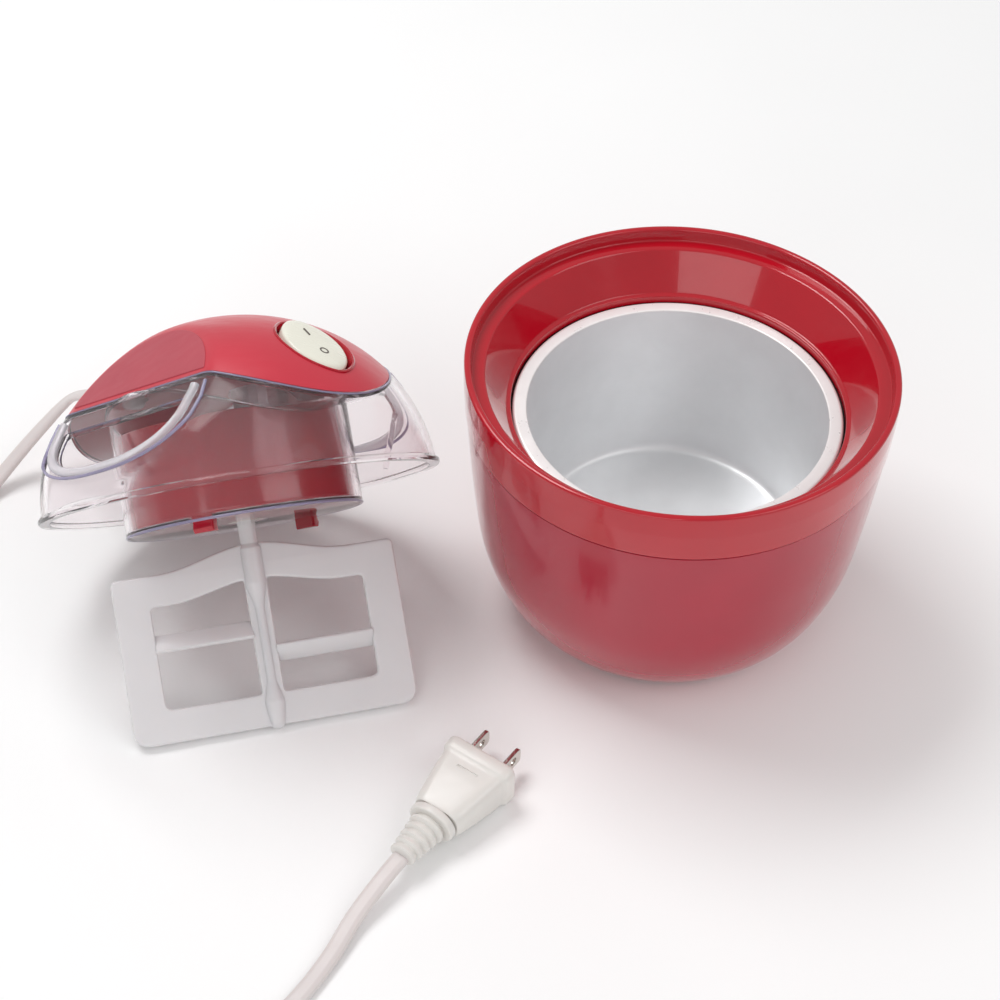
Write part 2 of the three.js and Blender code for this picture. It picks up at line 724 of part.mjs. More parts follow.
function bladeTop() {
  const half = paddle.halfWidth - 3;
  const steps = 16;
  return Array.from({ length: steps + 1 }, (_, i) => {
    const x = half - (2 * half * i) / steps;
    return [x, paddle.top + crown(x, 5.8, 0.68 * paddle.halfWidth)];
  });
}

function buildPaddle() {
  const frame = { side: 12, top: 10.8, bottom: 11, middle: 4 };
  // a slanted slat crosses each window, lower on the right than on the left
  const slat = { thickness: 1.8, depth: 7.4, lean: rad(38), leftHeight: -45.2, rightHeight: -54.2 };
  const outline = [
    [paddle.halfWidth, paddle.bottom + 4],
    [paddle.halfWidth, paddle.top - 4],
    ...bladeTop(),
    [-paddle.halfWidth, paddle.top - 4],
    [-paddle.halfWidth, paddle.bottom + 4],
    [-paddle.halfWidth + 1.2, paddle.bottom + 1.2],
    [-paddle.halfWidth + 4, paddle.bottom],
    [paddle.halfWidth - 4, paddle.bottom],
    [paddle.halfWidth - 1.2, paddle.bottom + 1.2],
  ];
  const half = paddle.thickness / 2;
  const upright = (geometry) => geometry.rotateX(Math.PI / 2);
  let blade = toSolid(upright(prism(outline, -half, half)));
  for (const side of [-1, 1]) {
    const outer = paddle.halfWidth - frame.side;
    const window = [];
    for (let i = 0; i <= 6; i += 1) {
      const x = frame.middle + ((outer - frame.middle) * i) / 6;
      window.push([side * x, paddle.top - frame.top + crown(x, 4.6, 30)]);
    }
    window.push([side * outer, paddle.bottom + frame.bottom + 2]);
    window.push([side * (outer - 2), paddle.bottom + frame.bottom]);
    window.push([side * frame.middle, paddle.bottom + frame.bottom]);
    if (side > 0) window.reverse();
    blade = blade.subtract(toSolid(upright(prism(window, -10, 10))));
    const vane = box(outer - frame.middle + 6, slat.thickness, slat.depth);
    vane.rotateX(side * slat.lean);
    vane.translate(side * (outer + frame.middle) / 2, 0, side < 0 ? slat.leftHeight : slat.rightHeight);
    blade = blade.add(toSolid(vane));
  }
  const stem = toSolid(turned([
    [0, paddle.bottom - paddle.tipOverhang],
    [2.2, paddle.bottom - paddle.tipOverhang + 1],
    [paddle.tipRadius, -tipCentre],
    [3.4, paddle.bottom + 8],
    [2.2, paddle.bottom + 15],
    [2.2, paddle.top - 16],
    [3.6, paddle.top - 9],
    [3.6, paddle.top + 3],
    [paddle.shaftRadius, paddle.top + 5],
    [paddle.shaftRadius, -9.4],
    [0, -9.4],
  ], 20));
  const drive = toSolid(prism(circle(paddle.shaftRadius, 6), -9.6, paddle.shaftTop));
  const body = unite(blade, stem, drive);
  const geometry = toGeometry(body);
  geometry.rotateZ(paddleTurn);
  addMesh(head, 'paddle', geometry, 'milky');
}

// ---------------------------------------------------------------- cord and plug on the table
const cordHeight = cord.thickness / 2 + 0.1;
const coilCentre = new THREE.Vector2(-284, -52);
const coilInner = cord.coilRadius - cord.width * cord.turnsAcross / 2;
const coilOuter = cord.coilRadius + cord.width * cord.turnsAcross / 2;

// where the relief ends, and the way it points, in the frame of the whole object
object.updateMatrixWorld(true);
function exitPoint(distance) {
  const direction = new THREE.Vector3(-Math.cos(cordExit.rise), 0, Math.sin(cordExit.rise));
  const point = new THREE.Vector3(-cordExit.radius, 0, cordExitHeight).addScaledVector(direction, distance);
  return head.localToWorld(point);
}

function flatCord(points, steps) {
  const path = new THREE.CatmullRomCurve3(points, false, 'centripetal');
  const section = ovalOutline(cord.thickness / 2, cord.width / 2, 8);
  const shape = new THREE.Shape(section.map(([x, y]) => new THREE.Vector2(x, y)));
  return new THREE.ExtrudeGeometry(shape, { steps, extrudePath: path, bevelEnabled: false });
}

function buildCord() {
  const lead = [
    exitPoint(cordExit.length + gap + 0.1),
    exitPoint(cordExit.length + 4),
    new THREE.Vector3(-217, 52.5, 31.5),
    new THREE.Vector3(-229, 50, 18.5),
    new THREE.Vector3(-241, 40.5, 7.5),
    new THREE.Vector3(-249.5, 27, 1.9),
    new THREE.Vector3(-251.5, 8, cordHeight),
    new THREE.Vector3(-250, -12, cordHeight),
    new THREE.Vector3(-248.3, -30, cordHeight),
  ];
  addMesh(object, 'cord_lead', flatCord(lead, 26), 'white');

  const height = cord.thickness * cord.turnsHigh + 0.4;
  const ring = turnedRing([
    [coilInner, 0.2],
    [coilOuter, 0.2],
    [coilOuter, height],
    [coilInner, height],
  ], 28);
  addMesh(object, 'cord_coil', ring.translate(coilCentre.x, coilCentre.y, 0), 'white');

  const tail = [
    new THREE.Vector3(-248.3, -74.5, cordHeight),
    new THREE.Vector3(-247, -95, cordHeight),
    new THREE.Vector3(-243, -120, cordHeight),
    new THREE.Vector3(-234, -150, cordHeight),
    new THREE.Vector3(-219, -180, cordHeight),
    new THREE.Vector3(-197, -203, cordHeight),
    new THREE.Vector3(-170, -213, cordHeight),
    new THREE.Vector3(-146, -207, cordHeight),
    new THREE.Vector3(-128, -193, cordHeight),
    new THREE.Vector3(-115.5, -178, cordHeight),
    new THREE.Vector3(-106.5, -163, cordHeight + 0.4),
    new THREE.Vector3(-100, -149.5, cordHeight + 2),
    new THREE.Vector3(-92.8, -138.4, cordHeight + 4.5),
    new THREE.Vector3(-88.4, -132, cordHeight + 5.6),
  ];
  addMesh(object, 'cord_tail', flatCord(tail, 34), 'white');
}

const plugPlace = new THREE.Group();
plugPlace.position.set(-86.5, -129.2, plug.height / 2 + 0.05);
plugPlace.rotation.z = rad(55.6);
object.add(plugPlace);

// the plug lies along its own X, blades forward, with its ribbed strain relief behind
function buildPlug() {
  const relief = [[0, 0.2], [cord.width / 2 + 0.7, 0.2]];
  const ribs = 5;
  const collarStart = plug.reliefLength - 3.4;
  const collarRadius = 7;
  for (let i = 0; i < ribs; i += 1) {
    const from = 0.2 + (collarStart * i) / ribs;
    const radius = THREE.MathUtils.lerp(cord.width / 2 + 0.9, collarRadius - 1.6, i / (ribs - 1));
    relief.push([radius, from + 0.3], [radius, from + 1.9]);
    relief.push([radius - 0.7, from + 2.1], [radius - 0.7, from + 2.7]);
  }
  relief.push([collarRadius - 0.4, collarStart + 0.3], [collarRadius, collarStart + 1.4]);
  relief.push([collarRadius, plug.reliefLength - 0.6], [collarRadius - 0.6, plug.reliefLength]);
  relief.push([0, plug.reliefLength]);
  const reliefSolid = turned(relief, 14).rotateY(Math.PI / 2);
  addMesh(plugPlace, 'plug_relief', reliefSolid, 'white');

  // body: rounded sections from the collar to the flange
  const stations = [
    [plug.reliefLength + gap, 9, 5.4, 5],
    [plug.reliefLength + 3, 9.4, 5.8, 5],
    [plug.reliefLength + 12, 10.8, 7, 4.5],
    [plug.reliefLength + 21, 12, 7.3, 4],
    [plug.reliefLength + 22, 12.9, 7.9, 4],
    [plug.reliefLength + 25.6, 13, 8, 4],
    [plug.reliefLength + plug.length - 1, 12.6, 7.6, 4],
  ];
  const rings = stations.map(([x, y, z, r]) => roundedRectangle(y, z, r).map(([a, b]) => [x, a, b]));
  addMesh(plugPlace, 'plug_body', loft(rings), 'white');

  const face = plug.reliefLength + plug.length - 1 + gap;
  const bladeHalf = 3.2;
  for (const side of [-1, 1]) {
    const name = side < 0 ? 'plug_blade_right' : 'plug_blade_left';
    const outline = [
      [0, -bladeHalf],
      [plug.bladeLength - 2, -bladeHalf],
      [plug.bladeLength, -bladeHalf / 2],
      [plug.bladeLength, bladeHalf / 2],
      [plug.bladeLength - 2, bladeHalf],
      [0, bladeHalf],
    ];
    const hole = circle(1.5, 10).map(([x, y]) => [x + plug.bladeLength - 4.2, y]);
    const blade = bored(outline, hole, -0.75, 0.75).rotateX(Math.PI / 2);
    addMesh(plugPlace, name, closed(blade).translate(face, side * plug.bladeSpacing / 2, 0), 'steel');
  }
}

buildBaseShell();
buildCollar();
buildBowl();
buildBaseInside();
buildLid();
buildCover();
buildHousing();
buildGears();
buildMotor();
buildSwitch();
buildRelief();
buildPaddle();
buildCord();
buildPlug();

export default object;
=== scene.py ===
"""Looks of the small ice cream maker, in metres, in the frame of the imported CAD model."""
from math import acos, atan2, copysign, cos, exp, hypot, pi, radians, sin, sqrt

import bmesh
import bpy
from mathutils import Matrix, Vector


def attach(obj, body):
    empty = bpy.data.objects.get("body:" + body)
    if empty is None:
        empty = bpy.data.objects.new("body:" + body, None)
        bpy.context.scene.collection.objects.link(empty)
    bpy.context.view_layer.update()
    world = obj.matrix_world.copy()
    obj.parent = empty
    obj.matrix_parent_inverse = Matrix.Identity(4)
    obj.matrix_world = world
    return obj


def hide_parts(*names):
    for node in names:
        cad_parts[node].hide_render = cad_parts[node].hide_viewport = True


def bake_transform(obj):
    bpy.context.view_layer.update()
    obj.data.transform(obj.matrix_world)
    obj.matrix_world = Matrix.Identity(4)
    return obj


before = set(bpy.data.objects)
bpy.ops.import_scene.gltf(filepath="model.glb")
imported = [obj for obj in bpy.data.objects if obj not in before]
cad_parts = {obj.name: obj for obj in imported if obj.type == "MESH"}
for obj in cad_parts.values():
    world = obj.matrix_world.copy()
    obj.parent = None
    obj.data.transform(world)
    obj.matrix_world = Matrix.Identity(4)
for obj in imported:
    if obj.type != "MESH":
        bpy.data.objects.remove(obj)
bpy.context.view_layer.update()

MM = 0.001


def turned(angle, axis):
    return Matrix.Rotation(angle, 4, axis)


def shifted(x, y, z):
    return Matrix.Translation((x, y, z))


# -------------------- sizes, repeated from part.mjs
RIM_RADIUS = 71.4 * MM
BASE_HEIGHT = 105.2 * MM
SEAM_HEIGHT = 86.5 * MM
SEAM_RADIUS = RIM_RADIUS - 0.8 * MM
FLOOR_RADIUS = 48 * MM
PAD_HEIGHT = 1.5 * MM
BASE_WALL = 2.4 * MM

BOWL_MOUTH = 50.4 * MM
BOWL_FLOOR_RADIUS = 46.6 * MM
BOWL_FLOOR = 20.6 * MM
LIP_HEIGHT = 84.2 * MM
LIP_RADIUS = 55.2 * MM
BOWL_WALL = 1.2 * MM
LIP_ROLL = 1.3 * MM

LID_RADIUS = 67 * MM
LID_HEIGHT = 60.8 * MM
LID_WALL = 2.4 * MM
FLANGE_RADIUS = 68.2 * MM
FACET_DISTANCE = 53 * MM
FACET_RISE = radians(39.4)
EDGE_LOW = 23.5 * MM
EDGE_CURVE = 0.009 / MM
CHUTE_TOP = -5.8 * MM
CHUTE_BOTTOM = -25.4 * MM
CHUTE_HALF = 32.5 * MM
CHUTE_SQUARED = 0.83  # 1 is a plain oval
WELL_RADIUS = 38.6 * MM
WELL_WALL = 1.6 * MM
WELL_FLOOR = -9 * MM
WELL_HOLE = 8 * MM
GAP = 0.3 * MM
DECK_THICKNESS = 1.8 * MM
RIB_LENGTH = 20 * MM
COVER_WALL = 1.8 * MM
HOUSING_RADIUS = WELL_RADIUS - 0.8 * MM
HOUSING_FLOOR = WELL_FLOOR + WELL_WALL + GAP
HOUSING_TOP = 25 * MM

PADDLE_HALF = 48 * MM
PADDLE_TOP = -22 * MM
PADDLE_BOTTOM = -78.4 * MM
PADDLE_THICKNESS = 3 * MM
TIP_RADIUS = 3 * MM
TIP_CENTRE = 76.6 * MM  # below the rim plane

ROCKER_RADIUS = 47.5 * MM
ROCKER_LENGTH = 28 * MM
ROCKER_WIDTH = 21.5 * MM
ROCKER_RECESS = 3 * MM
ROCKER_THROW = radians(12)

CORD_WIDTH = 6 * MM
CORD_THICKNESS = 3.2 * MM

# -------------------- the leaning head's own frame
REACH = hypot(FLANGE_RADIUS, TIP_CENTRE)
AXIS_RISE = acos(TIP_RADIUS / REACH) - atan2(TIP_CENTRE, FLANGE_RADIUS)
HEAD_TURN = radians(14.7)
SWITCH_TURN = radians(-52)
HEAD_CENTRE = Vector((-145.8 * MM, -14.8 * MM, FLANGE_RADIUS * cos(AXIS_RISE) + 0.05 * MM))
HEAD = (
    Matrix.Translation(HEAD_CENTRE)
    @ turned(HEAD_TURN, "Z")
    @ turned(AXIS_RISE - pi / 2, "X")
    @ turned(SWITCH_TURN, "Z")
)

# -------------------- camera
CAMERA_PLACE = (-0.0583, -0.5359, 0.5844)
CAMERA_PITCH = radians(45.52)
CAMERA_ROLL = radians(1.62)
CAMERA_LENS = 79.2
SENSOR_WIDTH = 36


def make_camera():
    data = bpy.data.cameras.new("camera")
    data.lens = CAMERA_LENS
    data.sensor_width = SENSOR_WIDTH
    data.clip_start = 0.01
    forward = Vector((0, cos(CAMERA_PITCH), -sin(CAMERA_PITCH)))
    level = Vector((1, 0, 0))
    above = level.cross(forward)
    right = level * cos(CAMERA_ROLL) + above * sin(CAMERA_ROLL)
    upward = above * cos(CAMERA_ROLL) - level * sin(CAMERA_ROLL)
    turn = Matrix((right, upward, -forward)).transposed().to_4x4()
    camera = bpy.data.objects.new("camera", data)
    camera.matrix_world = Matrix.Translation(CAMERA_PLACE) @ turn
    bpy.context.collection.objects.link(camera)
    bpy.context.scene.camera = camera


# -------------------- mesh helpers
SHARP = radians(32)


def add_object(name, mesh, material, body, place=None, sharp=SHARP):
    """Finishes a mesh as a piece that rides on a body."""
    if place is not None:
        mesh.transform(place)
    mesh.polygons.foreach_set("use_smooth", [True] * len(mesh.polygons))
    mesh.set_sharp_from_angle(angle=sharp)
    mesh.materials.clear()
    mesh.materials.append(material)
    mesh.update()
    obj = bpy.data.objects.new(name, mesh)
    bpy.context.collection.objects.link(obj)
    if body:
        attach(obj, body)
    return obj


def mesh_from(name, points, faces):
    mesh = bpy.data.meshes.new(name)
    mesh.from_pydata(points, [], faces)
    work = bmesh.new()
    work.from_mesh(mesh)
    bmesh.ops.remove_doubles(work, verts=work.verts, dist=1e-7)
    bmesh.ops.recalc_face_normals(work, faces=work.faces)
    work.to_mesh(mesh)
    work.free()
    return mesh


def grid(name, rows, wrap_rows=False, wrap_columns=True, cap=False):
    """A skin over rows of equally many points."""
    count = len(rows[0])
    points = [tuple(p) for row in rows for p in row]
    faces = []
    for r in range(len(rows) if wrap_rows else len(rows) - 1):
        nxt = (r + 1) % len(rows)
        for i in range(count if wrap_columns else count - 1):
            j = (i + 1) % count
            faces.append((r * count + i, r * count + j, nxt * count + j, nxt * count + i))
    if cap:
        faces.append(tuple(range(count - 1, -1, -1)))
        faces.append(tuple((len(rows) - 1) * count + i for i in range(count)))
    return mesh_from(name, points, faces)


STRAIGHT = 1.55  # half the angle at a corner too flat to round


def fillet(corners, closed=False, steps=4):
    """A polyline whose corners (x, y, radius) are rounded."""
    out = []
    count = len(corners)
    for i, corner in enumerate(corners):
        x, y = corner[0], corner[1]
        radius = corner[2] if len(corner) > 2 else 0
        end = not closed and i in (0, count - 1)
        if end or radius <= 0:
            out.append((x, y))
            continue
        here = Vector((x, y))
        back = Vector(corners[i - 1][:2]) - here
        ahead = Vector(corners[(i + 1) % count][:2]) - here
        half = back.angle(ahead) / 2
        if half > STRAIGHT:
            out.append((x, y))
            continue
        reach = min(radius / max(1e-6, sin(half) / cos(half)), back.length * 0.48, ahead.length * 0.48)
        start = here + back.normalized() * reach
        stop = here + ahead.normalized() * reach
        for k in range(steps + 1):
            t = k / steps
            point = start * (1 - t) ** 2 + here * 2 * t * (1 - t) + stop * t * t
            out.append((point.x, point.y))
    return out


def lathe(name, profile, segments=160):
    """Turned about Z from (radius, height) points, which close on themselves."""
    rows = []
    for radius, height in profile:
        row = []
        for i in range(segments):
            angle = 2 * pi * i / segments
            row.append((radius * cos(angle), radius * sin(angle), height))
        rows.append(row)
    return grid(name, rows, wrap_rows=True)


def smooth_line(points, step):
    """Points at about equal steps along a centripetal Catmull-Rom curve."""
    pts = [Vector(p) for p in points]
    pts = [2 * pts[0] - pts[1]] + pts + [2 * pts[-1] - pts[-2]]
    out = []
    for a, b, c, d in zip(pts, pts[1:], pts[2:], pts[3:]):
        t0 = 0.0
        t1 = t0 + sqrt((b - a).length)
        t2 = t1 + sqrt((c - b).length)
        t3 = t2 + sqrt((d - c).length)
        parts = max(1, round((c - b).length / step))
        for k in range(parts):
            t = t1 + (t2 - t1) * k / parts
            ab = a.lerp(b, (t - t0) / (t1 - t0))
            bc = b.lerp(c, (t - t1) / (t2 - t1))
            cd = c.lerp(d, (t - t2) / (t3 - t2))
            abc = ab.lerp(bc, (t - t0) / (t2 - t0))
            bcd = bc.lerp(cd, (t - t1) / (t3 - t1))
            out.append(abc.lerp(bcd, (t - t1) / (t2 - t1)))
    out.append(pts[-2])
    return out


def sweep(name, path, section, closed=False, side_of=None):
    """A section (side, up) carried along a path. side_of gives the side direction for a tangent."""
    rows = []
    count = len(path)
    for i, point in enumerate(path):
        before = path[i - 1] if (closed or i) else path[i]
        after = path[(i + 1) % count] if (closed or i < count - 1) else path[i]
        tangent = (after - before).normalized()
        side = side_of(tangent) if side_of else tangent.cross(Vector((0, 0, 1))).normalized()
        top = side.cross(tangent).normalized()
        rows.append([point + side * x + top * y for x, y in section])
    return grid(name, rows, wrap_rows=closed, cap=not closed)


def oval(half_x, half_y, steps=24):
    return [(half_x * cos(2 * pi * i / steps), half_y * sin(2 * pi * i / steps)) for i in range(steps)]


def rectangle(half_x, half_y):
    return [(-half_x, -half_y), (half_x, -half_y), (half_x, half_y), (-half_x, half_y)]


def plate(name, outline, thickness, bevel, holes=(), resolution=3):
    """A flat plate in XY, centred on Z, from an outline with holes, its edges rounded."""
    curve = bpy.data.curves.new(name, "CURVE")
    curve.dimensions = "2D"
    curve.fill_mode = "BOTH"
    curve.extrude = thickness / 2 - bevel
    curve.bevel_depth = bevel
    curve.bevel_resolution = resolution
    curve.offset = -bevel
    for loop in (outline, *holes):
        spline = curve.splines.new("POLY")
        spline.points.add(len(loop) - 1)
        for point, (x, y) in zip(spline.points, loop):
            point.co = (x, y, 0, 1)
        spline.use_cyclic_u = True
    holder = bpy.data.objects.new(name + "_curve", curve)
    bpy.context.collection.objects.link(holder)
    bpy.context.view_layer.update()
    solid = bpy.data.meshes.new_from_object(holder.evaluated_get(bpy.context.evaluated_depsgraph_get()))
    bpy.data.objects.remove(holder)
    work = bmesh.new()
    work.from_mesh(solid)
    bmesh.ops.remove_doubles(work, verts=work.verts, dist=2e-6)
    bmesh.ops.recalc_face_normals(work, faces=work.faces)
    work.to_mesh(solid)
    work.free()
    return solid


def block(name, size, bevel=0.0, segments=3):
    """A box centred on the origin with rounded edges."""
    mesh = bpy.data.meshes.new(name)
    work = bmesh.new()
    bmesh.ops.create_cube(work, size=1)
    bmesh.ops.scale(work, vec=size, verts=work.verts)
    if bevel:
        edges = list(work.edges)
        bmesh.ops.bevel(work, geom=edges, offset=bevel, segments=segments, affect="EDGES", profile=0.5)
    work.to_mesh(mesh)
    work.free()
    return mesh


def joined(name, *meshes):
    """Several meshes as one."""
    work = bmesh.new()
    for mesh in meshes:
        work.from_mesh(mesh)
    mesh = bpy.data.meshes.new(name)
    work.to_mesh(mesh)
    work.free()
    return mesh


def moved(mesh, matrix):
    mesh.transform(matrix)
    return mesh


def carve(mesh, *cutters):
    """The mesh with the cutters' solids taken away."""
    holder = bpy.data.objects.new("carve", mesh)
    bpy.context.collection.objects.link(holder)
    tools = []
    for cutter in cutters:
        tool = bpy.data.objects.new("cutter", cutter)
        bpy.context.collection.objects.link(tool)
        tools.append(tool)
        modifier = holder.modifiers.new("cut", "BOOLEAN")
        modifier.operation = "DIFFERENCE"
        modifier.solver = "EXACT"
        modifier.object = tool
    bpy.context.view_layer.update()
    result = bpy.data.meshes.new_from_object(holder.evaluated_get(bpy.context.evaluated_depsgraph_get()))
    for tool in tools:
        bpy.data.objects.remove(tool)
    bpy.data.objects.remove(holder)
    return result


def prism(name, outline, low, high):
    rows = [[(x, y, low) for x, y in outline], [(x, y, high) for x, y in outline]]
    return grid(name, rows, cap=True)


# -------------------- materials
def new_material(name):
    material = bpy.data.materials.new(name)
    material.use_nodes = True
    return material, material.node_tree, material.node_tree.nodes["Principled BSDF"]


def fill(node, **values):
    """Sets a node's inputs; a name's _ stands for the space in the socket's name."""
    for name, value in values.items():
        node.inputs[name.replace("_", " ")].default_value = value


def coordinates(tree, scale=(1, 1, 1)):
    coords = tree.nodes.new("ShaderNodeTexCoord")
    mapping = tree.nodes.new("ShaderNodeMapping")
    fill(mapping, Scale=scale)
    tree.links.new(coords.outputs["Object"], mapping.inputs["Vector"])
    return mapping.outputs["Vector"]


def noise(tree, vector, scale, detail=3.0, roughness=0.55):
    node = tree.nodes.new("ShaderNodeTexNoise")
    fill(node, Scale=scale, Detail=detail, Roughness=roughness)
    tree.links.new(vector, node.inputs["Vector"])
    return node.outputs["Fac"]


def ramp(tree, value, low, high):
    """A noise's middle values spread between two numbers."""
    node = tree.nodes.new("ShaderNodeMapRange")
    fill(node, From_Min=0.35, From_Max=0.65, To_Min=low, To_Max=high)
    tree.links.new(value, node.inputs["Value"])
    return node.outputs["Result"]


def two_colours(tree, value, first, second):
    node = tree.nodes.new("ShaderNodeValToRGB")
    for element, place, colour in zip(node.color_ramp.elements, (0.3, 0.7), (first, second)):
        element.position = place
        element.color = (*colour, 1)
    tree.links.new(value, node.inputs["Fac"])
    return node.outputs["Color"]


def bump(tree, height, distance):
    node = tree.nodes.new("ShaderNodeBump")
    fill(node, Distance=distance, Strength=1.0)
    tree.links.new(height, node.inputs["Height"])
    return node.outputs["Normal"]


def shade(colour, factor):
    return tuple(min(1.0, c * factor) for c in colour)


def connect(tree, shader, colours, gloss, normal):
    tree.links.new(colours, shader.inputs["Base Color"])
    tree.links.new(gloss, shader.inputs["Roughness"])
    tree.links.new(normal, shader.inputs["Normal"])


def plastic(
    name, colour, rough, coat=0.0, grain=900, grain_height=0.01 * MM, spread=0.06, rough_spread=0.05,
    subsurface=0.0, coat_rough=0.05, specular=0.5,
):
    """Moulded plastic: faint mottling, handling marks in the gloss and a fine moulded grain."""
    material, tree, shader = new_material(name)
    vector = coordinates(tree)
    mottle = noise(tree, vector, 45)
    fine = noise(tree, vector, grain, detail=2)
    marks = noise(tree, coordinates(tree, (1, 3, 1)), 120, detail=5)
    colours = two_colours(tree, mottle, shade(colour, 1 - spread), shade(colour, 1 + spread))
    gloss = ramp(tree, marks, rough - rough_spread, rough + rough_spread)
    connect(tree, shader, colours, gloss, bump(tree, fine, grain_height))
    fill(shader, Coat_Weight=coat, Coat_Roughness=coat_rough, Specular_IOR_Level=specular)
    if subsurface:
        spread_of_light = (4 * MM, 3.4 * MM, 3 * MM)
        fill(shader, Subsurface_Weight=subsurface, Subsurface_Radius=spread_of_light, Subsurface_Scale=1.0)
    return material


def clear_plastic(name, tint, rough=0.03, ior=1.38, haze=0.0):
    """Clear moulded plastic with a faint tint, some haze and fine wipe marks."""
    material, tree, shader = new_material(name)
    vector = coordinates(tree)
    wipe = noise(tree, coordinates(tree, (1, 1, 6)), 60, detail=6)
    wave = noise(tree, vector, 30, detail=1)
    colours = two_colours(tree, wave, shade(tint, 0.985), tint)
    gloss = ramp(tree, wipe, rough * 0.5, rough * 2)
    connect(tree, shader, colours, gloss, bump(tree, wave, 0.02 * MM))
    fill(shader, Transmission_Weight=1.0 - haze, IOR=ior)
    return material


def metal(
    name, colour, rough, stretch=(1, 1, 1), scale=400, height=0.004 * MM, rough_spread=0.08, metallic=1.0,
):
    """Metal with a drawn or brushed grain along one direction."""
    material, tree, shader = new_material(name)
    grain = noise(tree, coordinates(tree, stretch), scale, detail=6, roughness=0.65)
    stain = noise(tree, coordinates(tree), 70, detail=4)
    colours = two_colours(tree, stain, shade(colour, 0.975), shade(colour, 1.02))
    gloss = ramp(tree, grain, rough - rough_spread, rough + rough_spread)
    connect(tree, shader, colours, gloss, bump(tree, grain, height))
    fill(shader, Metallic=metallic)
    return material


MATERIALS = {
    "red_gloss": plastic("red_gloss_plastic", (0.40, 0.005, 0.026), 0.2, coat=0.7, coat_rough=0.04,
                         grain_height=0.002 * MM, spread=0.04, specular=0.3),
    "red_inside": plastic("red_collar_plastic", (0.47, 0.001, 0.012), 0.16, coat=0.8, coat_rough=0.03,
                          grain_height=0.002 * MM, spread=0.04, specular=0.3),
    "red_satin": plastic("red_satin_plastic", (0.58, 0.028, 0.052), 0.36, coat=0.2, coat_rough=0.25,
                         grain=1800, grain_height=0.006 * MM, spread=0.04),
    "red_matte": plastic("red_matte_grip", (0.47, 0.07, 0.095), 0.6, grain=2600, grain_height=0.02 * MM,
                         spread=0.04, rough_spread=0.05),
    "red_dark": plastic("red_housing_plastic", (0.42, 0.001, 0.014), 0.18, coat=0.6, spread=0.06,
                        grain_height=0.003 * MM, specular=0.4),
    "clear": clear_plastic("clear_lid_plastic", (0.985, 0.95, 0.965), ior=1.22, haze=0.025),
    # the rim itself is real; its heavy haze whitens it as a painted highlight for the white band along the
    # opening's rim
    "clear_rim_painted_highlight": clear_plastic("clear_rim_highlight_plastic", (0.96, 0.93, 0.97), haze=0.4),
    # thin violet beads along the lid's crease, well foot and cover seat: painted edge lines standing in for
    # how the clear plastic's edges bend and catch the light
    "painted_edge_line": clear_plastic("painted_edge_line_plastic", (0.52, 0.48, 0.68), haze=0.45),
    "aluminium": metal("satin_aluminium", (0.88, 0.89, 0.90), 0.46, stretch=(1, 1, 24), scale=160,
                       rough_spread=0.05, metallic=0.75),
    # the lip's own metal is the bowl's satin aluminium; this paler, less metallic copy is a painted
    # reflection of the softbox on the lip
    "lip": metal("lip_painted_reflection", (0.98, 0.965, 0.96), 0.34, stretch=(1, 1, 8), scale=200, metallic=0.25),
    "milky": plastic("milky_plastic", (0.73, 0.71, 0.722), 0.38, coat=0.1, subsurface=0.2, grain=700,
                     grain_height=0.004 * MM, spread=0.015, rough_spread=0.02),
    "cream": plastic("cream_plastic", (0.86, 0.85, 0.74), 0.26, coat=0.2, spread=0.02),
    "cord": plastic("white_cord_plastic", (0.70, 0.64, 0.63), 0.42, coat=0.1, spread=0.03, grain=1400,
                    grain_height=0.008 * MM, subsurface=0.1),
    "plug": plastic("white_plug_plastic", (0.76, 0.735, 0.70), 0.34, coat=0.2, spread=0.03, grain=1200,
                    grain_height=0.008 * MM, subsurface=0.1),
    "rubber": plastic("dark_rubber", (0.03, 0.03, 0.032), 0.75, grain=1500, grain_height=0.04 * MM,
                      spread=0.2),
    "black": plastic("black_plastic", (0.015, 0.015, 0.017), 0.45, spread=0.2),
    "gel": plastic("freezing_gel", (0.32, 0.52, 0.66), 0.2, coat=0.4, subsurface=0.3, spread=0.1),
    "nylon": plastic("nylon_gear_plastic", (0.82, 0.8, 0.74), 0.38, subsurface=0.15, spread=0.03),
    "steel": metal("rolled_steel", (0.56, 0.57, 0.58), 0.34, stretch=(1, 12, 1)),
    "nickel": metal("nickel_blades", (0.6, 0.57, 0.53), 0.2, stretch=(14, 1, 1), scale=300),
    "brass": metal("turned_brass", (0.72, 0.5, 0.2), 0.26, stretch=(1, 1, 14)),
    "marks": plastic("printed_marks", (0.12, 0.1, 0.09), 0.5, spread=0.1),
    "tie": plastic("white_tie_plastic", (0.75, 0.75, 0.74), 0.4, spread=0.05),
}


# -------------------- base
# shares of the seam's height, and of the way out from the floor's radius to the seam's
SIDE_STATIONS = ((0.02, 0.04), (0.09, 0.28), (0.18, 0.51), (0.35, 0.74), (0.6, 0.87), (1, 1))


def spline_side(inset, lowest):
    """The shell's bulged side from its underside to the seam."""
    knots = []
    for rise, bulge in SIDE_STATIONS:
        radius = FLOOR_RADIUS + bulge * (SEAM_RADIUS - FLOOR_RADIUS) - inset
        knots.append((radius, 0, max(rise * SEAM_HEIGHT, lowest)))
    return [(p.x, p.z) for p in smooth_line(knots, 2.5 * MM)]


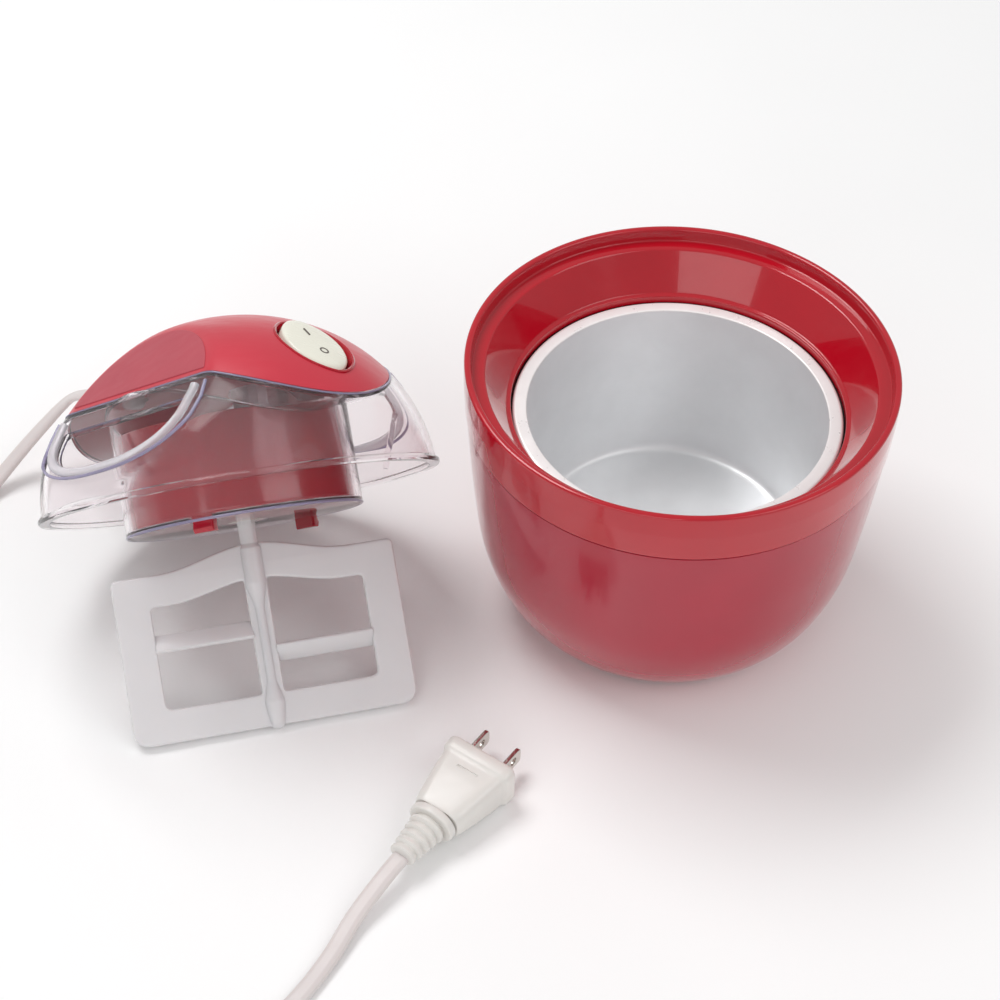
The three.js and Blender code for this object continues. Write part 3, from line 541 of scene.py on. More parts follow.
def make_base():
    side = spline_side(0, PAD_HEIGHT)
    side = [(r, z) for r, z in side if z < SEAM_HEIGHT - 0.9 * MM]
    seam = SEAM_HEIGHT - 0.15 * MM
    top = [
        (SEAM_RADIUS - 0.15 * MM, SEAM_HEIGHT - 0.5 * MM),
        (SEAM_RADIUS - 0.7 * MM, seam),
        (SEAM_RADIUS - BASE_WALL, seam),
    ]
    floor_top = PAD_HEIGHT + 2.5 * MM
    inner = spline_side(BASE_WALL, floor_top)
    inner = [(r, z) for r, z in inner if floor_top + 2 * MM < z < SEAM_HEIGHT - 2 * MM]
    filler_hole = 5 * MM
    floor = [(FLOOR_RADIUS - 5 * MM, floor_top), (filler_hole, floor_top), (filler_hole, PAD_HEIGHT)]
    heel = [(FLOOR_RADIUS - 1.5 * MM, PAD_HEIGHT)]
    profile = heel + side + top + inner[::-1] + floor
    shell = add_object("shell_skin", lathe("shell_skin", profile, 192), MATERIALS["red_gloss"], "base")
    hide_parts("base_shell")

    start = SEAM_HEIGHT + 0.25 * MM
    mouth = LIP_RADIUS + 0.5 * MM
    ledge = BASE_HEIGHT - 4.8 * MM
    ledge_radius = FLANGE_RADIUS + 0.8 * MM
    foot = LIP_HEIGHT - 0.9 * MM
    corners = [
        (SEAM_RADIUS + 0.3 * MM, start, 0.5 * MM),
        (RIM_RADIUS, SEAM_HEIGHT + 10.4 * MM, 3 * MM),
        (RIM_RADIUS, BASE_HEIGHT, 1.5 * MM),
        (ledge_radius + 0.1 * MM, BASE_HEIGHT, 1.1 * MM),
        (ledge_radius - 0.2 * MM, ledge, 0.7 * MM),
        (ledge_radius - 4.4 * MM, ledge - 0.4 * MM, 1.2 * MM),
        (mouth + 1.3 * MM, LIP_HEIGHT + 2.2 * MM, 1.0 * MM),
        (mouth, LIP_HEIGHT + 2.0 * MM, 0.6 * MM),
        (mouth, foot, 0.1 * MM),
        (mouth + 2.5 * MM, foot, 0.1 * MM),
        (mouth + 3.7 * MM, LIP_HEIGHT + 0.8 * MM, 0.5 * MM),
        (ledge_radius - 3.6 * MM, ledge - 3.4 * MM, 0.5 * MM),
        (ledge_radius - 1.2 * MM, ledge - 3.2 * MM, 0.5 * MM),
        (SEAM_RADIUS - BASE_WALL, ledge - 7 * MM, 0.5 * MM),
        (SEAM_RADIUS - BASE_WALL, start, 0.1 * MM),
    ]
    profile = fillet(corners, closed=True, steps=6)
    collar = add_object("collar_skin", lathe("collar_skin", profile, 224), MATERIALS["red_inside"], "base")
    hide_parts("base_collar")


def make_bowl():
    outer_floor = BOWL_FLOOR - BOWL_WALL
    lip_low = LIP_HEIGHT - 2.2 * MM
    corners = [
        (0.01 * MM, outer_floor),
        (BOWL_FLOOR_RADIUS + BOWL_WALL, outer_floor, 4.7 * MM),
        (BOWL_MOUTH + BOWL_WALL, lip_low, 0.3 * MM),
        (LIP_RADIUS - 0.4 * MM, lip_low, 0.3 * MM),
    ]
    outside = fillet(corners, steps=6)
    roll = []
    for k in range(9):
        angle = radians(-40 + 130 * k / 8)
        radius = LIP_RADIUS - LIP_ROLL + LIP_ROLL * cos(angle)
        roll.append((radius, LIP_HEIGHT - LIP_ROLL + LIP_ROLL * sin(angle)))
    corners = [
        (BOWL_MOUTH + 1.0 * MM, LIP_HEIGHT),
        (BOWL_MOUTH, LIP_HEIGHT, 1.6 * MM),
        (BOWL_FLOOR_RADIUS, BOWL_FLOOR, 3.5 * MM),
        (0.01 * MM, BOWL_FLOOR),
    ]
    inside = fillet(corners, steps=8)
    bowl = lathe("bowl_skin", outside + roll + inside, 192)
    bowl = add_object("bowl_skin", bowl, MATERIALS["aluminium"], "base")
    # the lip's upward-facing faces take the paler copy: a painted softbox reflection on the lip's top
    bowl.data.materials.append(MATERIALS["lip"])
    for face in bowl.data.polygons:
        if face.center.z > LIP_HEIGHT - 2.4 * MM and face.normal.z > -0.2:
            face.material_index = 1
    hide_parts("freezer_bowl")


# -------------------- head surfaces
FACET_OUT = cos(FACET_RISE)
FACET_UP = sin(FACET_RISE)


def dome_point(theta, elevation, inset=0.0, soft=1.6 * MM):
    """A point on the dome with its two flat sides, shrunk by an inset, its creases rounded by soft."""
    d = Vector((cos(elevation) * cos(theta), cos(elevation) * sin(theta), sin(elevation)))
    a = LID_RADIUS - inset
    b = LID_HEIGHT - inset
    round_reach = 1 / sqrt((d.x * d.x + d.y * d.y) / (a * a) + d.z * d.z / (b * b))
    lean = abs(d.y) * FACET_OUT + d.z * FACET_UP
    if lean > 1e-6:
        flat_reach = (FACET_DISTANCE - inset) / lean
        mix = min(1.0, max(0.0, 0.5 + 0.5 * (flat_reach - round_reach) / soft))
        reach = flat_reach * (1 - mix) + round_reach * mix - soft * mix * (1 - mix)
    else:
        reach = round_reach
    return d * reach


def edge_height(y, shift=0.0):
    return EDGE_LOW + EDGE_CURVE * y * y + shift


def edge_elevation(theta, inset, shift):
    """Where the dome meets the cover's lower edge, on one meridian."""
    low, high = 0.0, pi / 2 - 0.02
    for _ in range(40):
        middle = (low + high) / 2
        point = dome_point(theta, middle, inset)
        if point.z < edge_height(point.y, shift):
            low = middle
        else:
            high = middle
    return (low + high) / 2


def facet_matrix(side):
    """Places a flat shape (x, up, out) on one flat side of the dome."""
    out = Vector((0, side * FACET_OUT, FACET_UP))
    upward = Vector((0, -side * FACET_UP, FACET_OUT))
    across = upward.cross(out)
    turn = Matrix((across, upward, out)).transposed().to_4x4()
    return Matrix.Translation(out * FACET_DISTANCE) @ turn


def squared(share):
    """Draws an oval's corners out a little."""
    return copysign(abs(share) ** CHUTE_SQUARED, share)


def chute_curve(grow=0.0, steps=36):
    """The opening's curved lower side, from left to right, in the plane of a flat side."""
    half = CHUTE_HALF + grow
    centre = CHUTE_TOP - 1 * MM
    depth = centre - CHUTE_BOTTOM + grow
    curve = []
    for i in range(steps + 1):
        angle = pi + pi * i / steps
        curve.append((half * squared(cos(angle)), centre + depth * squared(sin(angle))))
    return curve


def chute_outline():
    """The half-oval opening, in the plane of a flat side."""
    end = CHUTE_HALF - 2 * MM
    corners = [(end, CHUTE_TOP, 1.2 * MM), (-end, CHUTE_TOP, 1.2 * MM)]
    return fillet(corners + chute_curve(), closed=True, steps=5)


COLUMNS = 200
TABS = ((radians(-63), "latch_tab_front"), (radians(102), "latch_tab_back"))
TAB_RADIUS = 35.4 * MM


def dome_part():
    """The dome's wall with its rim flange and the two openings."""
    rows = []
    wall_steps = 26
    first = 3.2 * MM / LID_RADIUS
    lowest = 0.01
    flange = [
        (LID_RADIUS - LID_WALL, 0.0),
        (FLANGE_RADIUS - 0.5 * MM, 0.0),
        (FLANGE_RADIUS, 0.5 * MM),
        (FLANGE_RADIUS, 1.3 * MM),
        (FLANGE_RADIUS - 0.4 * MM, 1.9 * MM),
        (LID_RADIUS + 0.05 * MM, 2.3 * MM),
    ]
    for c in range(COLUMNS):
        theta = 2 * pi * c / COLUMNS
        outer_top = edge_elevation(theta, 0, -GAP)
        inner_top = edge_elevation(theta, LID_WALL, -GAP)
        column = [Vector((r * cos(theta), r * sin(theta), z)) for r, z in flange]
        for k in range(wall_steps + 1):
            column.append(dome_point(theta, first + (outer_top - first) * k / wall_steps))
        for k in range(wall_steps, -1, -1):
            column.append(dome_point(theta, lowest + (inner_top - lowest) * k / wall_steps, LID_WALL))
        rows.append(column)
    dome = grid("lid_dome", rows, wrap_rows=True)
    bars = []
    for side in (-1, 1):
        bars.append(moved(prism("chute_bar", chute_outline(), -9 * MM, 9 * MM), facet_matrix(side)))
    return carve(dome, *bars)


def deck_part():
    """The deck that the cover sits on, sloping up towards the flat sides."""
    deck_rows = []
    spans = 6
    buried = LID_WALL * 0.6
    for c in range(COLUMNS):
        theta = 2 * pi * c / COLUMNS
        column = []
        inner_x = WELL_RADIUS * cos(theta)
        inner_y = WELL_RADIUS * sin(theta)
        for shift, steps in ((-GAP - DECK_THICKNESS, range(spans + 1)), (-GAP, range(spans, -1, -1))):
            end = dome_point(theta, edge_elevation(theta, LID_WALL, shift), buried)
            for k in steps:
                x = inner_x + (end.x - inner_x) * k / spans
                y = inner_y + (end.y - inner_y) * k / spans
                column.append(Vector((x, y, edge_height(y, shift))))
        deck_rows.append(column)
    return grid("lid_deck", deck_rows, wrap_rows=True)


def well_part():
    """The well that takes the motor housing, with a slot for each latch tab."""
    well_rows = []
    outer = WELL_RADIUS + WELL_WALL
    for c in range(COLUMNS):
        theta = 2 * pi * c / COLUMNS
        top_in = edge_height(WELL_RADIUS * sin(theta), -GAP - DECK_THICKNESS / 2)
        top_out = edge_height(outer * sin(theta), -GAP - DECK_THICKNESS / 2)
        corners = [
            (WELL_HOLE, WELL_FLOOR, 0.3 * MM),
            (outer, WELL_FLOOR, 1.2 * MM),
            (outer, top_out, 0.1 * MM),
            (WELL_RADIUS, top_in, 0.1 * MM),
            (WELL_RADIUS, WELL_FLOOR + WELL_WALL, 0.6 * MM),
            (WELL_HOLE, WELL_FLOOR + WELL_WALL, 0.3 * MM),
        ]
        line = fillet(corners, closed=True, steps=4)
        well_rows.append([Vector((r * cos(theta), r * sin(theta), z)) for r, z in line])
    well = grid("lid_well", well_rows, wrap_rows=True)
    slots = []
    for angle, _ in TABS:
        slot = block("slot", (6.2 * MM, 8.4 * MM, 8 * MM))
        slots.append(moved(slot, turned(angle, "Z") @ shifted(TAB_RADIUS, 0, WELL_FLOOR)))
    return carve(well, *slots)


def rib_part():
    """A thin leaning rib that stands inside the dome, beside the well."""
    rib = block("rib", (2 * MM, 1.6 * MM, RIB_LENGTH), bevel=0.3 * MM, segments=2)
    foot = shifted(53.4 * MM, 0, RIB_LENGTH / 2 + 1 * MM)
    return moved(rib, turned(radians(52), "Z") @ foot @ turned(radians(20), "Y"))


def make_lid():
    lid = joined("lid_skin", dome_part(), deck_part(), well_part(), rib_part())
    lid = add_object("lid_skin", lid, MATERIALS["clear"], "lid", HEAD, sharp=radians(24))
    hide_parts("clear_lid", "lid_well")

    for side, name in ((-1, "near"), (1, "far")):
        make_chute_rim(side, name)
    make_well_rim()


def on_flat_side(side, x, up, out):
    """A point on a flat side, or on the round dome where the flat side has ended."""
    point = facet_matrix(side) @ Vector((x, up, 0))
    share = (point.x**2 + point.y**2) / LID_RADIUS**2 + point.z**2 / LID_HEIGHT**2
    if share > 1:
        point /= sqrt(share)
    return point + point.normalized() * out


def make_chute_rim(side, name):
    """The rounded rim of the opening's curved side, and outside it a thin raised violet bead that is a
    painted dark edge line along the crease.
    """
    half = CHUTE_HALF + 1.6 * MM
    ends = [(-half, CHUTE_TOP + 4 * MM), (-half - 0.2 * MM, CHUTE_TOP + 1.5 * MM)]
    line = ends + chute_curve(grow=1.5 * MM)[2:-2] + [(-x, y) for x, y in ends[::-1]]
    path = [on_flat_side(side, x, y, 0.3 * MM) for x, y in line]
    outward = facet_matrix(side).to_3x3() @ Vector((0, 0, 1))

    def beside(tangent):
        return tangent.cross(outward).normalized()

    rim = sweep(f"chute_rim_{name}", path, oval(1.7 * MM, 1.5 * MM, 14), side_of=beside)
    # the rim's hazy material paints its white highlight band
    add_object(f"chute_rim_{name}", rim, MATERIALS["clear_rim_painted_highlight"], "lid", HEAD)

    half = CHUTE_HALF + 7 * MM
    grow = 3.4 * MM
    ends = [(-half + 1.2 * MM, -0.5 * MM), (-half, CHUTE_TOP - 1 * MM)]
    curve = [(x * half / (CHUTE_HALF + grow), y) for x, y in chute_curve(grow)]
    line = ends + curve[3:-3] + [(-x, y) for x, y in ends[::-1]]
    path = [on_flat_side(side, x, y, 0.2 * MM) for x, y in line]
    # the crease bead: a painted dark edge line along the crease
    crease = sweep(f"crease_{name}", path, oval(0.55 * MM, 0.6 * MM, 10), side_of=beside)
    add_object(f"crease_{name}", crease, MATERIALS["painted_edge_line"], "lid", HEAD)


def make_well_rim():
    """Thin violet beads as painted edge lines: the bright edge round the well's foot, and the one all round
    under the cover.
    """
    radius = WELL_RADIUS + WELL_WALL - 0.3 * MM
    ring = [(radius + x, WELL_FLOOR + 0.5 * MM + y) for x, y in oval(0.55 * MM, 0.5 * MM, 12)]
    # painted edge line round the well's foot
    add_object("well_foot_edge", lathe("well_foot_edge", ring, 128), MATERIALS["painted_edge_line"], "lid", HEAD)
    path = []
    for c in range(COLUMNS):
        theta = 2 * pi * c / COLUMNS
        path.append(dome_point(theta, edge_elevation(theta, 0, -0.6 * MM), 0.15 * MM))
    # painted edge line all round under the cover
    line = sweep("cover_seat_edge", path, oval(0.5 * MM, 0.35 * MM, 10), closed=True)
    add_object("cover_seat_edge", line, MATERIALS["painted_edge_line"], "lid", HEAD)


SURROUND = (  # how far outside the button, and how high over the skin, in millimetres
    (2.2, 0.35), (1.7, 0.55), (1.2, 0.2), (0.9, -0.6), (0.55, -1.6), (0.45, -5.0), (1.2, -5.0), (2.2, -2.0),
)


def make_cover():
    rows = []
    steps = 44
    crowding = 1.15  # rows closer together near the edge
    top = pi / 2 - 0.004
    for c in range(COLUMNS):
        theta = 2 * pi * c / COLUMNS
        outer_low = edge_elevation(theta, 0, 0)
        inner_low = edge_elevation(theta, COVER_WALL, 0)
        column = []
        for k in range(steps + 1):
            share = (k / steps) ** crowding
            column.append(dome_point(theta, outer_low + (top - outer_low) * share))
        for k in range(steps, -1, -2):
            share = (k / steps) ** crowding
            column.append(dome_point(theta, inner_low + (top - inner_low) * share, COVER_WALL))
        rows.append(column)
    cover = grid("cover_skin", rows, wrap_rows=True)
    outline = pointed_oval(ROCKER_LENGTH / 2 + 1.8 * MM, ROCKER_WIDTH / 2 + 1.7 * MM)
    window = prism("window", outline, -6 * MM, 9 * MM)
    cover = carve(cover, moved(window, ROCKER_PLACE))
    obj = add_object("cover_skin", cover, MATERIALS["red_satin"], "motor_unit", HEAD, sharp=radians(30))
    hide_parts("top_cover")

    # the recessed surround of the rocker: a dished ring
    rings = []
    for grow, lift in SURROUND:
        outline = pointed_oval(ROCKER_LENGTH / 2 + grow * MM, ROCKER_WIDTH / 2 + grow * MM)
        rings.append([rocker_surface(x, y, lift * MM) for x, y in outline])
    surround = grid("rocker_surround", rings, wrap_rows=True)
    add_object("rocker_surround", surround, MATERIALS["red_dark"], "motor_unit", HEAD @ ROCKER_PLACE)

    for side, name in ((-1, "near"), (1, "far")):
        outline = facet_outline(5.6 * MM, 0.94)
        pad = plate(f"grip_{name}", outline, 0.7 * MM, 0.3 * MM)
        add_object(f"grip_{name}", pad, MATERIALS["red_matte"], "motor_unit", HEAD @ facet_matrix(side))


def facet_outline(lowest, share):
    """The part of a flat side above a line, as an outline in its plane."""
    right, left = [], []
    steps = 28
    highest = lowest
    stride = 0.2 * MM
    while facet_half_width(highest + stride) > 0:
        highest += stride
    highest *= share
    for k in range(steps):
        angle = (pi / 2) * k / (steps - 1)
        up = lowest + (highest - lowest) * sin(angle)
        half = facet_half_width(up / share) * share
        if k == steps - 1:
            half = 0.0
        right.append((half, up))
        left.append((-half, up))
    corner = 1.5 * MM
    right[0] += (corner,)
    left[0] += (corner,)
    return fillet(right + left[-2::-1], closed=True)


def facet_half_width(up):
    y = FACET_DISTANCE * FACET_OUT - up * FACET_UP
    z = FACET_DISTANCE * FACET_UP + up * FACET_OUT
    inside = 1 - (y / LID_RADIUS) ** 2 - (z / LID_HEIGHT) ** 2
    return LID_RADIUS * sqrt(inside) if inside > 0 else 0.0


# -------------------- rocker
ROCKER_HEIGHT = LID_HEIGHT * sqrt(1 - (ROCKER_RADIUS / LID_RADIUS) ** 2)
ROCKER_LEAN = atan2(ROCKER_RADIUS / LID_RADIUS**2, ROCKER_HEIGHT / LID_HEIGHT**2)
ROCKER_PLACE = shifted(ROCKER_RADIUS, 0, ROCKER_HEIGHT) @ turned(ROCKER_LEAN, "Y")
OVAL_STEPS = 64
SKIN_CURVE = 0.0078 / MM
MARK_HEIGHT = 0.3 * MM


def pointed_oval(half_x, half_y):
    """An oval whose two ends on X are drawn out to soft points."""
    out = []
    for i in range(OVAL_STEPS):
        angle = 2 * pi * i / OVAL_STEPS
        squeeze = 1 - 0.18 * cos(angle) ** 4
        out.append((half_x * cos(angle), half_y * sin(angle) * squeeze))
    return out


def rocker_surface(x, y, lift):
    """A point over the dome near the rocker, in the rocker's own frame, so much above the skin."""
    return Vector((x, y, lift - SKIN_CURVE * (x * x + y * y)))


def make_rocker():
    half_x = ROCKER_LENGTH / 2 - 0.2 * MM
    half_y = ROCKER_WIDTH / 2 - 0.2 * MM
    rings = []
    bottom = -2 * ROCKER_RECESS
    rings.append([Vector((0, 0, bottom))] * OVAL_STEPS)
    for share, height in ((1.0, bottom), (1.0, -1.6 * MM), (0.985, -1.0 * MM), (0.95, -0.62 * MM)):
        rings.append([Vector((x * share, y * share, height)) for x, y in pointed_oval(half_x, half_y)])
    for share in (0.88, 0.76, 0.62, 0.48, 0.34, 0.2, 0.08, 0.0):
        ring = []
        for x, y in pointed_oval(half_x, half_y):
            px, py = x * share, y * share
            vee = 0.66 * MM * (abs(px) / half_x) ** 1.3
            ring.append(Vector((px, py, 0.1 * MM - 0.9 * MM * share * share + vee)))
        rings.append(ring)
    button = grid("rocker_skin", rings)
    rest = shifted(0, 0, -ROCKER_RECESS) @ turned(ROCKER_THROW / 2, "Y") @ shifted(0, 0, ROCKER_RECESS)
    place = HEAD @ ROCKER_PLACE @ rest
    obj = add_object("rocker_skin", button, MATERIALS["cream"], "rocker", place)
    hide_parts("rocker_button")

    bar = plate("power_on_mark", rectangle(1.7 * MM, 0.3 * MM), MARK_HEIGHT, 0.08 * MM)
    on_place = place @ shifted(-5.6 * MM, 0, 0.32 * MM)
    add_object("power_on_mark", bar, MATERIALS["marks"], "rocker", on_place)
    section = [(1.35 * MM + x, y) for x, y in oval(0.27 * MM, MARK_HEIGHT / 2, 10)]
    ring = lathe("power_off_mark", section, 48)
    off_place = place @ shifted(4.6 * MM, 0, 0.2 * MM)
    add_object("power_off_mark", ring, MATERIALS["marks"], "rocker", off_place)


# -------------------- motor housing and tabs
def make_housing():
    wall = 2 * MM
    hole = 7.6 * MM
    inner = HOUSING_RADIUS - wall
    floor_top = HOUSING_FLOOR + wall
    corners = [
        (hole, HOUSING_FLOOR, 0.3 * MM),
        (HOUSING_RADIUS, HOUSING_FLOOR, 1.4 * MM),
        (HOUSING_RADIUS, HOUSING_TOP, 0.6 * MM),
        (inner, HOUSING_TOP, 0.6 * MM),
        (inner, floor_top, 0.8 * MM),
        (hole, floor_top, 0.3 * MM),
    ]
    housing = lathe("housing_skin", fillet(corners, closed=True, steps=5), 160)
    obj = add_object("housing_skin", housing, MATERIALS["red_dark"], "motor_unit", HEAD)
    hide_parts("motor_housing")

    half = 2 * MM
    foot = WELL_FLOOR - 3.6 * MM
    head = HOUSING_FLOOR + 5.2 * MM
    for angle, name in TABS:
        corners = [
            (-half, head, 0.2 * MM),
            (-half, foot, 0.5 * MM),
            (half, foot, 0.4 * MM),
            (half + 0.8 * MM, foot + 1.4 * MM, 0.3 * MM),
            (half, WELL_FLOOR - 0.3 * MM, 0.2 * MM),
            (half, head, 0.2 * MM),
        ]
        tab = plate(name, fillet(corners, closed=True), 7 * MM, 0.35 * MM)
        upright = turned(pi / 2, "X")
        place = HEAD @ turned(angle, "Z") @ shifted(TAB_RADIUS, 0, 0) @ upright
        obj = add_object(name + "_skin", tab, MATERIALS["red_dark"], "motor_unit", place)
        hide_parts(name)


# -------------------- paddle
def crown(x, reach, height):
    """The soft rise of the frame's top edge towards the shaft."""
    return height * (0.5 + 0.5 * cos(min(abs(x) / reach, 1) * pi))


def make_paddle():
    half = PADDLE_HALF
    top, bottom = PADDLE_TOP, PADDLE_BOTTOM
    corners = [(half, bottom, 6 * MM), (half, top, 4.5 * MM)]
    steps = 30
    for i in range(steps + 1):
        x = (half - 5 * MM) * (1 - 2 * i / steps)
        corners.append((x, top + crown(x, 0.68 * half, 5.8 * MM)))
    corners += [(-half, top, 4.5 * MM), (-half, bottom, 6 * MM)]
    outline = fillet(corners, closed=True, steps=6)
    side, head, foot, middle = 12 * MM, 10.8 * MM, 11 * MM, 3.8 * MM
    windows = []
    for sign in (-1, 1):
        outer = half - side
        corners = [(sign * outer, bottom + foot, 2.6 * MM), (sign * outer, top - head, 1.6 * MM)]
        for i in range(1, 9):
            x = outer + (middle - outer) * i / 9
            corners.append((sign * x, top - head + crown(x, 30 * MM, 4.6 * MM)))
        corners.append((sign * middle, top - head + 4.4 * MM, 1.2 * MM))
        corners.append((sign * middle, bottom + foot, 1.2 * MM))
        windows.append(fillet(corners, closed=True))
    blade = plate("blade", outline, PADDLE_THICKNESS, 0.9 * MM, holes=windows, resolution=4)
    moved(blade, turned(pi / 2, "X"))

    vanes = []
    for sign, height in ((-1, -45.2 * MM), (1, -54.2 * MM)):
        outer = half - side
        vane = block("vane", (outer - middle + 1 * MM, 1.8 * MM, 7 * MM), bevel=0.6 * MM)
        slant = turned(sign * radians(38), "X")
        vanes.append(moved(vane, shifted(sign * (outer + middle) / 2, 0, height) @ slant))

    shaft_top = -9.8 * MM
    tip = -TIP_CENTRE
    stem = [(0.01 * MM, tip - TIP_RADIUS)]
    for k in range(1, 7):
        angle = radians(-90 + 15 * k)
        stem.append((TIP_RADIUS * cos(angle), tip + TIP_RADIUS * sin(angle)))
    stem += fillet([
        (TIP_RADIUS, tip + 0.5 * MM),
        (3.7 * MM, bottom + 8 * MM, 4 * MM),
        (2.2 * MM, bottom + 15 * MM, 5 * MM),
        (2.2 * MM, top - 16 * MM, 5 * MM),
        (3.8 * MM, top - 8 * MM, 5 * MM),
        (3.8 * MM, top + 4 * MM, 1.5 * MM),
        (3 * MM, top + 5.5 * MM, 0.6 * MM),
        (3 * MM, shaft_top, 0.2 * MM),
    ], steps=6)
    stem.append((0.01 * MM, shaft_top))
    shaft = lathe("stem", stem, 48)
    drive = prism("drive", oval(3 * MM, 3 * MM, 6), -10 * MM, -1.2 * MM)
    paddle = joined("paddle_skin", blade, shaft, drive, *vanes)
    turn = turned(-SWITCH_TURN, "Z")
    obj = add_object("paddle_skin", paddle, MATERIALS["milky"], "paddle", HEAD @ turn, sharp=radians(35))
    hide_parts("paddle")


# -------------------- cord
EXIT_RADIUS = 50 * MM
EXIT_HEIGHT = LID_HEIGHT * sqrt(1 - (EXIT_RADIUS / LID_RADIUS) ** 2) + GAP
EXIT_RISE = radians(20)
RELIEF_LENGTH = 22 * MM
CORD_HEIGHT = CORD_THICKNESS / 2 + 0.1 * MM
COIL_CENTRE = (-284 * MM, -52 * MM)


def exit_point(distance):
    along = Vector((-cos(EXIT_RISE), 0, sin(EXIT_RISE)))
    return HEAD @ (Vector((-EXIT_RADIUS, 0, EXIT_HEIGHT)) + along * distance)


def coil_route():
    """Turns side by side and in two layers, entered and left at the side nearest the head."""
    turns = ((36 * MM, 1.7 * MM), (30 * MM, 1.7 * MM), (30 * MM, 5.1 * MM), (36 * MM, 5.1 * MM))
    per_turn = 30
    crossing = 0.2  # the last share of a turn, where it moves over to the next
    points = []
    for i in range(len(turns) * per_turn + 1):
        turn = min(i // per_turn, len(turns) - 1)
        radius, height = turns[turn]
        share = (i / per_turn - turn - 1 + crossing) / crossing
        if turn + 1 < len(turns) and share > 0:
            ease = share * share * (3 - 2 * share)
            radius += (turns[turn + 1][0] - radius) * ease
            height += (turns[turn + 1][1] - height) * ease
        angle = -2 * pi * i / per_turn
        x = COIL_CENTRE[0] + radius * cos(angle)
        y = COIL_CENTRE[1] + radius * sin(angle)
        points.append((x, y, height))
    return points


LEAD = (
    (-0.2170, 0.0525, 0.0315),
    (-0.2290, 0.0500, 0.0185),
    (-0.2410, 0.0405, 0.0075),
    (-0.2495, 0.0270, 0.0019),
    (-0.2515, 0.0080, CORD_HEIGHT),
    (-0.2500, -0.0120, CORD_HEIGHT),
    (-0.2483, -0.0300, CORD_HEIGHT),
)
TAIL = (
    (-0.2483, -0.0745, 0.0034),
    (-0.2470, -0.0950, CORD_HEIGHT),
    (-0.2430, -0.1200, CORD_HEIGHT),
    (-0.2340, -0.1500, CORD_HEIGHT),
    (-0.2190, -0.1800, CORD_HEIGHT),
    (-0.1970, -0.2030, CORD_HEIGHT),
    (-0.1700, -0.2130, CORD_HEIGHT),
    (-0.1460, -0.2070, CORD_HEIGHT),
    (-0.1280, -0.1930, CORD_HEIGHT),
    (-0.1155, -0.1780, CORD_HEIGHT),
    (-0.1065, -0.1630, CORD_HEIGHT + 0.0004),
    (-0.1000, -0.1495, CORD_HEIGHT + 0.0020),
    (-0.0928, -0.1384, CORD_HEIGHT + 0.0045),
    (-0.0884, -0.1320, CORD_HEIGHT + 0.0056),
    (-0.0857, -0.1280, CORD_HEIGHT + 0.0057),
)


def cord_section():
    """Two round cores side by side under one skin, with a groove between them."""
    groove = 0.8 * MM
    out = []
    for x, y in oval(CORD_WIDTH / 2, CORD_THICKNESS / 2, 20):
        out.append((x, y * (1 - 0.22 * exp(-((x / groove) ** 2)))))
    return out


def make_cord(plug_pieces):
    route = [exit_point(RELIEF_LENGTH - 1.2 * MM), exit_point(RELIEF_LENGTH + 4 * MM)]
    route += [Vector(p) for p in LEAD]
    route += [Vector(p) for p in coil_route()]
    route += [Vector(p) for p in TAIL]
    path = smooth_line(route, 2.6 * MM)
    cord = add_object("cord_skin", sweep("cord_skin", path, cord_section()), MATERIALS["cord"], None)
    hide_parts("cord_lead", "cord_coil", "cord_tail")
    pieces = [make_tie()] + plug_pieces
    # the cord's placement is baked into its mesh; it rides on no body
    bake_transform(cord)


def make_tie():
    """A flat tie round the coil's far side."""
    half = 7 * MM
    low = 0.45 * MM
    high = 7.4 * MM
    corners = [
        (-half, low, 0.8 * MM),
        (half, low, 0.8 * MM),
        (half, high, 1.6 * MM),
        (-half, high, 1.6 * MM),
    ]
    path = [Vector((x, 0, z)) for x, z in fillet(corners, closed=True)]
    section = rectangle(1.6 * MM, 0.35 * MM)
    band = sweep("cord_tie", path, section, closed=True, side_of=lambda tangent: Vector((0, 1, 0)))
    place = shifted(COIL_CENTRE[0] - 33 * MM, COIL_CENTRE[1], 0)
    return add_object("cord_tie", band, MATERIALS["tie"], "lid", place)


# a rib as shares of its pitch and of its radius: a rounded ring, then the groove after it
RIB = ((0.08, 0.93), (0.18, 1.0), (0.5, 1.0), (0.62, 0.95), (0.68, 0.84), (0.9, 0.84))


def ribbed(start, length, first, last, flat, collar=None):
    """A ribbed strain relief along X: grooves between rounded rings, flattened by a share."""
    ribs = 5
    segments = 40
    profile = [(0.01 * MM, start), (first * 0.8, start)]
    pitch = length / ribs
    for i in range(ribs):
        radius = first + (last - first) * i / (ribs - 1)
        x = start + pitch * i
        for share, size in RIB:
            profile.append((radius * size, x + pitch * share))
    end = start + length
    if collar:
        radius, width = collar
        stop = end + width
        edge = 0.9 * MM
        profile += fillet([(last * 0.84, end), (radius, end, edge), (radius, stop, edge), (last, stop)])
        end = stop
    profile.append((0.01 * MM, end))
    rows = []
    for radius, x in profile:
        rows.append([Vector((x, y, z)) for y, z in oval(radius, radius * flat, segments)])
    return grid("relief", rows, wrap_rows=True)


def make_cord_relief():
    relief = ribbed(3.0 * MM, RELIEF_LENGTH - 3.2 * MM, 4.9 * MM, 3.7 * MM, flat=0.92)
    sleeve = moved(block("sleeve", (10 * MM, 7.6 * MM, 7.2 * MM), bevel=2.6 * MM), shifted(-1 * MM, 0, 0))
    relief = joined("cord_relief_skin", relief, sleeve)
    place = HEAD @ shifted(-EXIT_RADIUS, 0, EXIT_HEIGHT) @ turned(pi + EXIT_RISE, "Y")
    obj = add_object("cord_relief_skin", relief, MATERIALS["cord"], "motor_unit", place)
    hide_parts("cord_relief")


